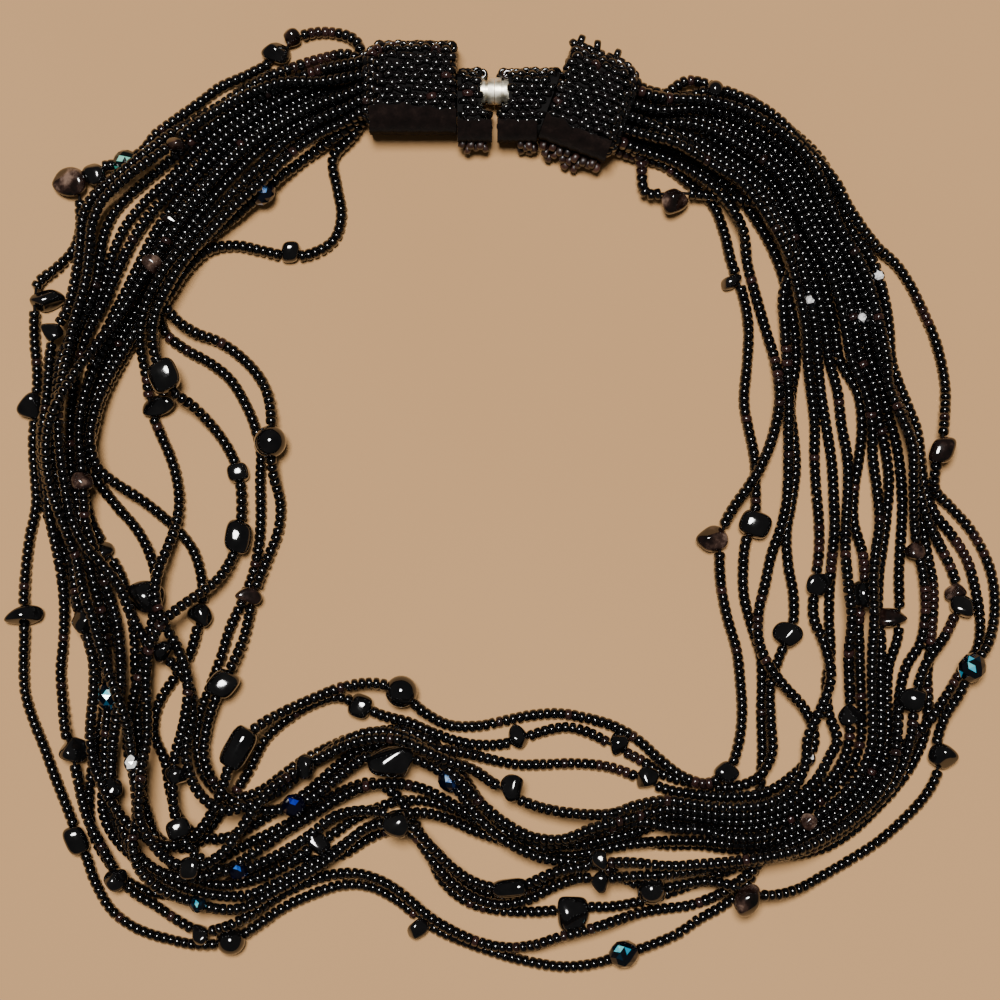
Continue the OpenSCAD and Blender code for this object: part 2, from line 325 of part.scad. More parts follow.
// Larger beads, in order along each strand: name, strand, nearest point of the plan, form,
// length along the strand, width across it, height, and shift towards the inside of the loop
BEADS = [
    ["chip_01", 0, [-41, 82.4], "chip", 4.6, 4.8, 4, -0.6],
    ["crystal_01", 0, [-69.5, 62.7], "crystal", 4.4, 4.4, 4.4, 0],
    ["chip_02", 0, [-78.1, 58.4], "chip", 5.6, 6.4, 4.4, -2],
    ["chip_03", 0, [-86.4, 37.3], "chip", 4.2, 6.6, 4, 2.2],
    ["chip_04", 0, [-86.3, 17.5], "chip", 5, 5.4, 4.4, -0.8],
    ["chip_05", 0, [-88.5, -21.4], "chip", 3.8, 7.4, 4, 0],
    ["block_01", 0, [-78.2, -63], "block", 5.6, 4.2, 4, -0.6],
    ["round_01", 0, [-50, -81.8], "round", 5.4, 5.4, 5.4, 0],
    ["crystal_02", 0, [23, -84.3], "crystal", 5.2, 5.2, 5.2, 0],
    ["block_02", 0, [47, -4.4], "block", 5, 6, 4.4, -0.6],
    ["block_03", 2, [-26, -38.3], "block", 4.2, 4.6, 4, 0],
    ["chip_06", 3, [-63.6, -18], "chip", 6, 7, 4.6, -2],
    ["round_02", 4, [58.5, -16], "round", 5.4, 5.4, 5.4, 0],
    ["block_04", 5, [-39, 45.3], "block", 3.4, 4, 3.4, -0.8],
    ["chip_07", 5, [13.5, -75.7], "chip", 6, 7, 4.6, -1],
    ["chip_08", 6, [-79.6, -46.5], "chip", 5, 6.4, 4.4, 0.8],
    ["crystal_03", 7, [-72.6, -36.4], "crystal", 4.6, 4.6, 4.6, 0],
    ["chip_09", 9, [-55.6, -21.3], "chip", 4.6, 5, 4, 0],
    ["chip_10", 9, [32.5, 57], "chip", 5, 5, 4, 1.6],
    ["crystal_04", 10, [-44, 57], "crystal", 4.6, 4.6, 4.6, 0],
    ["round_03", 10, [-42.6, 10.8], "round", 6, 6, 6, 0],
    ["block_05", 10, [-51.2, -34], "block", 5.4, 5.4, 4.4, 0],
    ["crystal_05", 10, [-38, -56.7], "crystal", 4.2, 4.2, 4.2, 0],
    ["chip_11", 10, [-20, -46.6], "chip", 8.6, 6, 4.6, -1.6],
    ["crystal_06", 10, [-9.2, -51.8], "crystal", 4.4, 4.4, 4.4, 0],
    ["round_04", 10, [28, -72], "round", 5.6, 5.6, 5.6, 0],
    ["chip_12", 10, [46, -72.2], "chip", 4.6, 6.4, 4.4, -1.8],
    ["chip_13", 10, [81, -47.5], "chip", 5, 5.6, 4.4, -1.2],
    ["crystal_07", 10, [87.3, -31], "crystal", 5.2, 5.2, 5.2, 0],
    ["block_06", 10, [81.5, 9.3], "block", 5.4, 4.6, 4.2, -0.4],
    ["chip_14", 11, [-77.5, -22.5], "chip", 5, 5, 4, 0.6],
    ["drop_01", 11, [-48.2, -45.6], "drum", 8, 5, 5, 0],
    ["round_05", 11, [-18.3, -35.5], "round", 6, 6, 6, 0],
    ["chip_15", 11, [41, -7.4], "chip", 5, 6, 4.2, 1.8],
    ["drop_02", 14, [-64.9, 17.2], "chip", 3.8, 6.4, 4, 1.5],
    ["block_07", 15, [-62, 22.8], "block", 6.2, 5.8, 4.8, 0],
    ["block_08", 15, [-48.5, -6.8], "block", 6.2, 5, 4.4, 0],
    ["chip_16", 15, [1.5, -54], "chip", 4.6, 5, 4, 1.2]
];
STRAND = 1;
PLACE = 2;
FORM = 3;
ALONG = 4;
ACROSS = 5;
TALL = 6;
SHIFT = 7;

// Plain helpers
function unit(v) = v / norm(v);
function heading(a) = [cos(a), sin(a)];
function clamp(v, low, high) = max(low, min(high, v));

// Place in the mouth of a cap: column 0 is at the outer edge of the loop, and out is along the strand
function mouth_point(mouth, turn, outer, column, columns, pitch, out) =
    mouth + out * heading(turn) + outer * ((columns - 1) / 2 - column) * pitch * heading(turn + 90);
function left_end(s, out) =
    mouth_point(left_mouth, left_turn, -1, s[LEFT_COLUMN], row_columns[s[ROW]], left_pitch, out);
function right_end(s, out) =
    mouth_point(right_mouth, right_turn, 1, s[RIGHT_COLUMN], row_columns[s[ROW]], right_pitch, out);
function full_route(s) = concat(
    [left_end(s, -mouth_depth), left_end(s, mouth_lip)],
    s[ROUTE],
    [right_end(s, mouth_lip), right_end(s, -mouth_depth)]
);

// Running length at each point of a route, and the point at a given length
function step_length(route, i) = i + 1 < len(route) ? norm(route[i + 1] - route[i]) : 0;
function running(route) = [for (i = 0, s = 0; i < len(route); s = s + step_length(route, i), i = i + 1) s];
function tables(route, runs) = [
    [for (i = [0:len(route) - 1]) [runs[i], route[i].x]],
    [for (i = [0:len(route) - 1]) [runs[i], route[i].y]]
];
function point_at(table, s) = [lookup(s, table[0]), lookup(s, table[1])];
function foot(p, a, b) = clamp(((p - a) * (b - a)) / ((b - a) * (b - a)), 0, 1);
function length_near(route, runs, p) =
    let (feet = [for (i = [0:len(route) - 2])
            let (t = foot(p, route[i], route[i + 1]))
            [norm(route[i] + t * (route[i + 1] - route[i]) - p), runs[i] + t * (runs[i + 1] - runs[i])]],
        best = min([for (f = feet) f[0]]))
    [for (f = feet) if (f[0] == best) f[1]][0];

// Stations of a strand: length, half length of the bead there, index of the bead or -1
function stations(n) =
    let (s = STRANDS[n], route = full_route(s), runs = running(route), last = runs[len(runs) - 1],
        beads = [for (i = [0:len(BEADS) - 1]) if (BEADS[i][STRAND] == n)
            [length_near(route, runs, BEADS[i][PLACE]), BEADS[i][ALONG] / 2 + gap, i]],
        fixed = concat([[0, 0, -1], [runs[1], 0, -1]], beads, [[runs[len(runs) - 2], 0, -1], [last, 0, -1]]))
    [for (k = [0:len(fixed) - 1])
        let (here = fixed[k], next = k + 1 < len(fixed) ? fixed[k + 1] : here,
            free = next[0] - next[1] - here[0] - here[1],
            parts = k == 0 || k >= len(fixed) - 2 ? 1 : max(1, ceil(free / ring_step)))
        for (j = [0:parts - 1]) j == 0 ? here : [here[0] + here[1] + free * j / parts, 0, -1]];

// Plan geometry of a station: where the strand enters it and leaves it
function station_ends(table, st) =
    let (c = point_at(table, st[0]),
        u = unit(point_at(table, st[0] + max(st[1], 1)) - point_at(table, st[0] - max(st[1], 1))))
    [c - u * st[1], c + u * st[1]];

// Pieces of a strand seen in plan: two ends, half width, half height, stations at the two ends
function bead_piece(b, e, j) =
    let (u = unit(e[1] - e[0]), side = b[SHIFT] * [-u.y, u.x],
        cut = min(b[ALONG] / 2, bead_round * b[ACROSS]) * u)
    [e[0] + side + cut, e[1] + side - cut, b[ACROSS] / 2 + gap, b[TALL] / 2 + gap, j, j];
function plan_pieces(sts, ends) = concat(
    [for (j = [0:len(sts) - 2]) [ends[j][1], ends[j + 1][0], seed_r, seed_r, j, j + 1]],
    [for (j = [0:len(sts) - 1]) if (sts[j][2] >= 0) bead_piece(BEADS[sts[j][2]], ends[j], j)]
);

// Height at which one piece clears another that lies d away in plan
function lift(d, width, height, plain) =
    let (power = plain ? 2 : 3)
    d >= width ? -1 : height * pow(1 - pow(d / width, power), 1 / power);
function cross2(a, b) = a.x * b.y - a.y * b.x;
function contacts(a, b, c, d, z0, z1, width, height, plain) =
    let (turn = cross2(b - a, d - c),
        t = abs(turn) < 0.001 ? -1 : cross2(c - a, d - c) / turn,
        u = abs(turn) < 0.001 ? -1 : cross2(c - a, b - a) / turn,
        low = [
            for (e = [[c, z0], [d, z1]])
                let (k = foot(e[0], a, b))
                [k, norm(a + k * (b - a) - e[0]), e[1]],
            for (k = [0:0.2:1])
                let (p = a + k * (b - a), m = foot(p, c, d))
                [k, norm(c + m * (d - c) - p), z0 + m * (z1 - z0)],
            if (t >= 0 && t <= 1 && u >= 0 && u <= 1) [t, 0, z0 + u * (z1 - z0)]
        ])
    [for (e = low) if (e[1] < width) [e[0], e[2] + lift(e[1], width, height, plain)]];

function contacts_over(p, below) =
    let (mid = (p[0] + p[1]) / 2, reach = norm(p[1] - p[0]) / 2)
    [for (q = below)
        let (width = p[2] + q[2] + gap)
        if (norm((q[0] + q[1]) / 2 - mid) < reach + norm(q[1] - q[0]) / 2 + width)
            each contacts(p[0], p[1], q[0], q[1], q[6], q[7], width, slope_share * (p[3] + q[3] + gap),
                p[3] == seed_r && q[3] == seed_r)];

// Heights of the stations: the ends stay in their rows, and no stretch climbs too steeply
function held(j, last) = j < 2 || j > last - 2;
function eased(sts, zs) =
    let (last = len(sts) - 1)
    [for (j = [0:last])
        held(j, last) ? zs[j] : max([for (m = [0:last])
            zs[m] - climb * max(0, abs(sts[j][0] - sts[m][0]) - sts[j][1] - sts[m][1])])];

// One strand laid over all those before it: stations, plan ends, heights, and its pieces with heights.
// It first meets each contact with the nearest end of the piece, and then lifts what still falls short.
function lay(n, below) =
    let (s = STRANDS[n], route = full_route(s), table = tables(route, running(route)), sts = stations(n),
        last = len(sts) - 1,
        ends = [for (st = sts) station_ends(table, st)],
        pieces = plan_pieces(sts, ends),
        spans = [for (p = pieces) p[4] == p[5] ? 0 : norm(p[1] - p[0])],
        met = [for (p = pieces) contacts_over(p, below)],
        first = eased(sts, [for (j = [0:last])
            held(j, last) ? row_z[s[ROW]] : max([
                sts[j][2] < 0 ? seed_r : BEADS[sts[j][2]][TALL] / 2,
                for (k = [0:len(pieces) - 1]) if (pieces[k][4] == j)
                    for (m = met[k]) m[1] - climb * spans[k] * m[0],
                for (k = [0:len(pieces) - 1]) if (pieces[k][5] == j)
                    for (m = met[k]) m[1] - climb * spans[k] * (1 - m[0])])]),
        short = [for (k = [0:len(pieces) - 1])
            max([0, for (m = met[k]) m[1] - (1 - m[0]) * first[pieces[k][4]] - m[0] * first[pieces[k][5]]])],
        zs = eased(sts, [for (j = [0:last])
            first[j] + (held(j, last) ? 0 : max([0, for (k = [0:len(pieces) - 1])
                if (pieces[k][4] == j || pieces[k][5] == j) short[k]]))]))
    [sts, ends, zs, [for (p = pieces) [p[0], p[1], p[2], p[3], p[4], p[5], zs[p[4]], zs[p[5]]]]];
function lay_all(n, laid, below) = n == len(STRANDS) ? laid :
    let (one = lay(n, below))
    lay_all(n + 1, concat(laid, [one]), concat(below, one[3]));
LAID = lay_all(0, [], []);

// Rings of a strand: centre, direction, radius. It narrows to its thread inside each larger bead.
function at_height(p, z) = [p.x, p.y, z];
function rings(n) =
    let (one = LAID[n], sts = one[0], ends = one[1], zs = one[2], last = len(sts) - 1)
    [for (j = [0:last])
        let (before = j == 0 ? at_height(ends[0][0], zs[0]) : at_height(ends[j - 1][1], zs[j - 1]),
            after = j == last ? at_height(ends[last][1], zs[last]) : at_height(ends[j + 1][0], zs[j + 1]),
            a = at_height(ends[j][0], zs[j]), b = at_height(ends[j][1], zs[j]),
            u = sts[j][2] < 0 ? unit(after - before) : unit(b - a))
        each sts[j][2] < 0 ? [[a, u, seed_r]] :
            [[a, u, seed_r], [a + neck_l * u, u, thread_d / 2],
                [b - neck_l * u, u, thread_d / 2], [b, u, seed_r]]];
function ring_points(r) =
    let (side = unit(cross(r[1], [0, 0, 1])), up = cross(side, r[1]))
    [for (k = [0:strand_sides - 1])
        let (a = 360 * k / strand_sides)
        r[0] + r[2] * (cos(a) * side + sin(a) * up)];

module strand(n) {
    all_rings = rings(n);
    points = [for (r = all_rings) each ring_points(r)];
    count = len(all_rings);
    walls = [for (i = [0:count - 2], k = [0:strand_sides - 1])
        let (m = (k + 1) % strand_sides)
        [i * strand_sides + k, i * strand_sides + m,
            (i + 1) * strand_sides + m, (i + 1) * strand_sides + k]];
    first = [for (k = [0:strand_sides - 1]) strand_sides - 1 - k];
    end = [for (k = [0:strand_sides - 1]) (count - 1) * strand_sides + k];
    color([0.05, 0.05, 0.06]) polyhedron(points, concat([first, end], walls));
}

// Forms of the larger beads, each centred, with the strand along x
module round_form(b) {
    sphere(d = b[ALONG]);
}
module drum_form(b) {
    half = b[ALONG] / 2;
    wide = b[ACROSS] / 2;
    rotate([0, 90, 0])
        rotate_extrude()
            polygon([[0, -half], [wide * 0.75, -half], [wide, -half * 0.7], [wide, half * 0.7],
                [wide * 0.75, half], [0, half]]);
}
module block_form(b) {
    intersection() {
        cube([b[ALONG], b[ACROSS], b[TALL]], center = true);
        sphere(r = norm([b[ALONG], b[ACROSS], b[TALL]]) * 0.44);
    }
}
module chip_form(b) {
    intersection() {
        cube([b[ALONG], b[ACROSS], b[TALL]], center = true);
        rotate([18, -14, 32]) cube([b[ALONG], b[ACROSS], b[TALL] * 1.1] * 1.12, center = true);
        sphere(r = norm([b[ALONG], b[ACROSS], b[TALL]]) * 0.42);
    }
}
module crystal_form(b) {
    half = b[ALONG] / 2;
    wide = b[ACROSS] / 2;
    rotate([0, 90, 0])
        rotate_extrude($fn = crystal_sides)
            polygon([[0, -half], [wide * 0.5, -half], [wide, -half * 0.25], [wide, half * 0.25],
                [wide * 0.5, half], [0, half]]);
}
module bead(b) {
    one = LAID[b[STRAND]];
    j = [for (k = [0:len(one[0]) - 1]) if (one[0][k][2] >= 0 && BEADS[one[0][k][2]][NAME] == b[NAME]) k][0];
    a = one[1][j][0];
    c = one[1][j][1];
    way = c - a;
    translate([(a.x + c.x) / 2, (a.y + c.y) / 2, one[2][j]])
        rotate([0, 0, atan2(way.y, way.x)])
            difference() {
                translate([0, b[SHIFT], 0]) {
                    if (b[FORM] == "round") color([0.06, 0.06, 0.07]) round_form(b);
                    if (b[FORM] == "drum") color([0.06, 0.06, 0.07]) drum_form(b);
                    if (b[FORM] == "block") color([0.07, 0.06, 0.06]) block_form(b);
                    if (b[FORM] == "chip") color([0.2, 0.15, 0.13]) chip_form(b);
                    if (b[FORM] == "crystal") color([0.1, 0.45, 0.6]) crystal_form(b);
                }
                rotate([0, 90, 0]) cylinder(h = b[ALONG] + 2, d = bore_d, center = true);
            }
}

// Bar with rounded edges, its length along x from 0, its middle at y = 0 and its underside at z = 0
module rounded_outline(w, h, r) {
    square([w - 2 * r, h], center = true);
    square([w, h - 2 * r], center = true);
    for (i = [-1, 1], j = [-1, 1]) translate([i * (w / 2 - r), j * (h / 2 - r)]) circle(r);
}
module rounded_bar(l, w, h, r) {
    translate([0, 0, h / 2]) rotate([90, 0, 90]) linear_extrude(l) rounded_outline(w, h, r);
}

// Woven end cap with a pocket that the ends of the strands sit in, open towards the strands along +x
module cap(l, w) {
    color([0.05, 0.05, 0.06])
        difference() {
            rounded_bar(l, w, cap_h, edge_r);
            translate([l - pocket_depth, 0, weave_t])
                rounded_bar(pocket_depth + 1, w - 2 * weave_t, cap_h - 2 * weave_t, edge_r - weave_t);
        }
}
module left_cap() {
    translate([left_mouth.x, left_mouth.y, 0]) rotate([0, 0, left_turn])
        translate([-left_cap_l, 0, 0]) cap(left_cap_l, left_cap_w);
}
module right_cap() {
    translate([right_mouth.x, right_mouth.y, 0]) rotate([0, 0, right_turn])
        translate([-right_cap_l, 0, 0]) cap(right_cap_l, right_cap_w);
}

// Woven sleeve around one half of the clasp, with a notch on top of the seam where the clasp shows.
// way is -1 for the sleeve on the left of the seam and 1 for the one on the right.
module sleeve(way, l) {
    color([0.05, 0.05, 0.06])
        translate([seam_x + way * seam_open / 2, 0, 0])
            difference() {
                translate([way < 0 ? -l : 0, sleeve_y, clasp_z - sleeve_h / 2])
                    rounded_bar(l, sleeve_w, sleeve_h, edge_r);
                translate([0, clasp_y, clasp_z]) rotate([0, 90, 0])
                    cylinder(h = 2 * clasp_l, d = clasp_d + 2 * gap, center = true);
                translate([-notch_l, clasp_y - notch_w / 2, clasp_z]) cube([2 * notch_l, notch_w, sleeve_h]);
            }
}
module left_sleeve() {
    sleeve(-1, seam_x - seam_open / 2 - left_mouth.x - left_cap_l - gap);
}
// The right sleeve ends on the slant of the right end cap
module right_sleeve() {
    difference() {
        sleeve(1, right_sleeve_l);
        translate([right_mouth.x, right_mouth.y, -1]) rotate([0, 0, right_turn])
            translate([-right_cap_l - gap, -right_cap_w, 0]) cube([right_cap_l, 2 * right_cap_w, cap_h + 2]);
    }
}

// One half of the magnetic clasp: a barrel with a waist and a rim
module clasp_half(way) {
    color([0.8, 0.8, 0.8])
        translate([seam_x + way * seam_gap / 2, clasp_y, clasp_z]) rotate([0, way * 90, 0]) {
            cylinder(h = 1.2, d = clasp_d);
            translate([0, 0, 1.2]) cylinder(h = 0.5, d = clasp_d - 1);
            translate([0, 0, 1.7]) cylinder(h = clasp_l - 1.7, d = clasp_d - 0.4);
        }
}
module clasp_left() {
    clasp_half(-1);
}
module clasp_right() {
    clasp_half(1);
}

for (n = [0:len(STRANDS) - 1])
    strand(n);
for (b = BEADS)
    bead(b);
left_cap();
right_cap();
left_sleeve();
right_sleeve();
clasp_left();
clasp_right();
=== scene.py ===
import math

import bmesh
import bpy
import numpy as np
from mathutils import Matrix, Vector
from mathutils.bvhtree import BVHTree


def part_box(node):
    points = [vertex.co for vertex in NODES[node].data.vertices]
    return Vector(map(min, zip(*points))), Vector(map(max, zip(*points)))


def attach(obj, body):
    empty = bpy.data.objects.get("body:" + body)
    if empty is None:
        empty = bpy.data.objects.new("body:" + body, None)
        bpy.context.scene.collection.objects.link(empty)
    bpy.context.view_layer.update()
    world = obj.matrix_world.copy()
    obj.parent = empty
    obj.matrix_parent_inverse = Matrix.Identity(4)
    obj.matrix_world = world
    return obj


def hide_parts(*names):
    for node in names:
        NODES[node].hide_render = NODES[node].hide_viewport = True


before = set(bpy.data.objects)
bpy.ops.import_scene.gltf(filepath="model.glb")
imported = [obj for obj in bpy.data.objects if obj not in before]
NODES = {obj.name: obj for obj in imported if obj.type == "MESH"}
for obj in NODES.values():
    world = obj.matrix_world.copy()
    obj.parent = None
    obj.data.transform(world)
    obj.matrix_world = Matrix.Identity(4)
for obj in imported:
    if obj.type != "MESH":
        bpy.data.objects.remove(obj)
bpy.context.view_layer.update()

UP = np.array([0.0, 0.0, 1.0])
MM = 0.001

# Camera, in metres: straight above, as in the photograph
VIEW_WIDTH = 0.185
CAMERA_HEIGHT = 0.7
MIDDLE_HEIGHT = 0.005
SENSOR_MM = 36.0

# Floor and light: the lamp is wide enough for soft shadows and small enough for crisp glints on the glass
FLOOR_HALF = 3.0
KEY_WAY = (-0.06, 0.2, 0.98)
KEY_ANGLE = 0.27
KEY_POWER = 5.2
KEY_COLOUR = (1.0, 0.985, 0.96)
ROOM_COLOUR = (1.0, 0.98, 0.95, 1.0)
ROOM_LIGHT = 0.07

# Seed beads and thread: the profile gives place along and radius, as shares of length and of radius
SEED_R = 0.00105
SEED_LENGTH = 0.00121
SEED_PITCH = 0.0013
SEED_SIDES = 10
SEED_PROFILE = [(-0.40, 0.40), (-0.50, 0.71), (-0.37, 0.94), (0.0, 1.0), (0.37, 0.94), (0.50, 0.71),
                (0.40, 0.40)]
LENGTH_SPREAD = (0.94, 1.07)
SEED_SPREAD = (1.0, 1.07)
SEED_TOP_R = SEED_R * SEED_SPREAD[1]
STRUNG_LOOSE = 0.09
STRAND_SEED = 100
THREAD_R = 0.0003
THREAD_SIDES = 5
THREAD_STEP = 0.003

# Tints of seed beads: the share of brown ones at random, the share of low-lying ones painted brown for shadow
# in the shadow places and the height they lie below, and the ranges of tint of brown and of black ones
FEW_BROWN = 0.03
SHADOW_BROWN_SHARE = 0.75
SHADOW_BROWN_BELOW = 0.0045
BROWN_AND_SHADOW_TINTS = (0.85, 1.0)
BLACK_TINTS = (0.0, 0.7)

# Courses of the strands
COURSE_STEP = 0.0004
CURVE_POINTS = 16
HEIGHT_SOFTENING = 0.0016
HEIGHT_EASE = 0.00015
ABOVE_ALL = 0.1
HALF_SPAN = 0.0005

# Forms of the larger beads
ROUND_SIDES = 16
ROUND_HOLE = 0.12
ROUND_RINGS = 13
DRUM_PROFILE = [(-1, 0.55), (-0.97, 0.7), (-0.85, 0.85), (-0.6, 0.97), (-0.3, 1.0), (0.3, 1.0), (0.6, 0.97),
                (0.85, 0.85), (0.97, 0.7), (1, 0.55)]
CHIP_PLANES = 11
CHIP_HEIGHTS = (0.62, 1.0)
CHIP_BALL = 0.9
CHIP_WEAR = 9
BLOCK_CUTS = 7
BLOCK_BOW = 0.7
BLOCK_LEAN = 0.07
BLOCK_CROWN = 3.1

# Cut crystals: each belt of corners has its place along, its radius and half a step of turn or none
CRYSTAL_SIDES = 10
CRYSTAL_BELTS = [(-1.0, 0.46, 0.0), (-0.62, 0.84, 0.5), (-0.2, 1.0, 0.0), (0.2, 1.0, 0.5), (0.62, 0.84, 0.0),
                 (1.0, 0.46, 0.5)]

# Other larger beads
FORM_TINT = 0.2
ACCENT_SEED = 500
ACCENT_RISE = 0.7

# Painted flashes of light on the cut crystals: their direction, close to the lamp's, how near to it a facet
# has to face, and their share elsewhere
FLASH_WAY = np.array([-0.15, 0.25, 0.956])
FLASH_TURN = 0.25
DARK_FLASH = 0.95
CLEAR_FLASH = 0.7
STRAY_FLASH = 0.035
FLASH_TINTS = (0.6, 1.0)
FACET_TINTS = (0.0, 0.35)

# End caps, sleeves and clasp, as the frame has them
LEFT_MOUTH = np.array([-0.024, 0.0763])
LEFT_TURN = math.radians(180)
RIGHT_MOUTH = np.array([0.0225, 0.0712])
RIGHT_TURN = math.radians(-20)
MOUTH_DEPTH = 0.0025
MOUTH_LIP = 0.001
ROW_COLUMNS = [6, 5, 5]
LEFT_PITCH = 0.00225
RIGHT_PITCH = 0.0025
CAP_H = 0.0114
LEFT_CAP_W = 0.0168
LEFT_CAP_L = 0.016
RIGHT_CAP_W = 0.0184
RIGHT_CAP_L = 0.013
SLEEVE_W = 0.0134
SLEEVE_H = 0.0086
SLEEVE_Y = 0.0731
RIGHT_SLEEVE_L = 0.014
CLASP_Y = 0.0756
CLASP_Z = 0.0057
CLASP_ROOM = 0.0028 + SEED_R * 0.8
SEAM_X = -0.001
SEAM_OPEN = 0.001
NOTCH_ALONG = 0.0014 + SEED_R
NOTCH_ACROSS = 0.0042 / 2 + SEED_R * 0.7
EDGE_R = 0.0032
GAP = 0.00015

# Beadwork over caps and sleeves
WEAVE_COLUMN = 0.00126
WEAVE_ROW = 0.00178
WEAVE_LOOSE = 0.2
WEAVE_SHIFT = 0.00012
SHELL_END = SEED_R * 0.9
END_EDGE = 1.7 * SEED_R
SLANT_ROOM = SEED_R * 0.6
LEFT_CAP_SEED = 31
RIGHT_CAP_SEED = 32
LEFT_SLEEVE_SEED = 33
RIGHT_SLEEVE_SEED = 34
CORE_INSET = SEED_R * 0.9
CORE_POINTS = 40
CAP_CORE_START = SEED_R * 1.2
MOUTH_HOLLOW = 0.003
SEAM_CLEAR = 0.0021
RIM_ROUNDS = ((0.0006, 0.0009), (0.0015, 0.0019))
RIM_CORNER = 0.6
RIM_START = 800
EDGE_PITCH = 0.0016
EDGE_ROWS = 3
EDGE_TOP = 0.0052
EDGE_MISSED = 0.45
EDGE_FIRST = 0.25
EDGE_EACH = 0.35
EDGE_SPREAD = (-0.15, 0.2)
PICOT_BEADS = ((-1, 0.4), (1, 0.4), (0, 1.35))
PICOT_HALF = 0.0009
PICOT_LEAN = 0.3
PICOTS = ((0.0012, 0.0078), (0.0043, 0.0082), (0.0085, 0.0076))
PICOT_INSET = 0.0006

# Painted shade: a dark brown band laid round the shaded lower side of caps and sleeves, standing in for that
# shade: its foot and corner, its uneven edge, its reach onto the top
SHADE_BAND_T = 0.0004
SHADE_BAND_OUT = SHADE_BAND_T * 0.6
SHADE_BAND_OVERLAP = SEED_R * 0.5
SHADE_BAND_STEPS = 26
SHADE_BAND_FOOT = ((0.7, 0.05), (0.1, 0.5), (0, 1))
SHADE_BAND_CORNER = (0.25, 1.57, 6)
SHADE_BAND_LEAST = 0.0002
SHADE_BAND_TUCK = (0.0002, 0.0004)
SHADE_BAND_WAVER = 0.00025
SHADE_BAND_WAVER_RATE = 23
SHADE_BAND_WAVER_START = 9000
SHADE_BAND_WAVE = 0.00008
SHADE_BAND_WAVE_RATE = 41
LEFT_CAP_BAND = (0.0036, 0.0042, 0.0048, 0.0044)
RIGHT_CAP_BAND = (0.0042, 0.0038, 0.003, 0.0024)
SLEEVE_BAND = (0.0035, 0.003)

# Painted shadow: brown beads along the shaded lower edges, standing in for the lumpy edge of the shadow
# there, each from one plan point to another (mm), and how far they hang out
LEFT_SLEEVE_EDGE = ((-7.6, 66.4), (-1.6, 66.4))
RIGHT_SLEEVE_EDGE = ((3.0, 66.5), (6.6, 66.5))
RIGHT_CAP_EDGE = ((7.6, 66.6), (19.2, 62.4))
SLEEVE_FRINGE = 0.0014
CAP_FRINGE = 0.0022

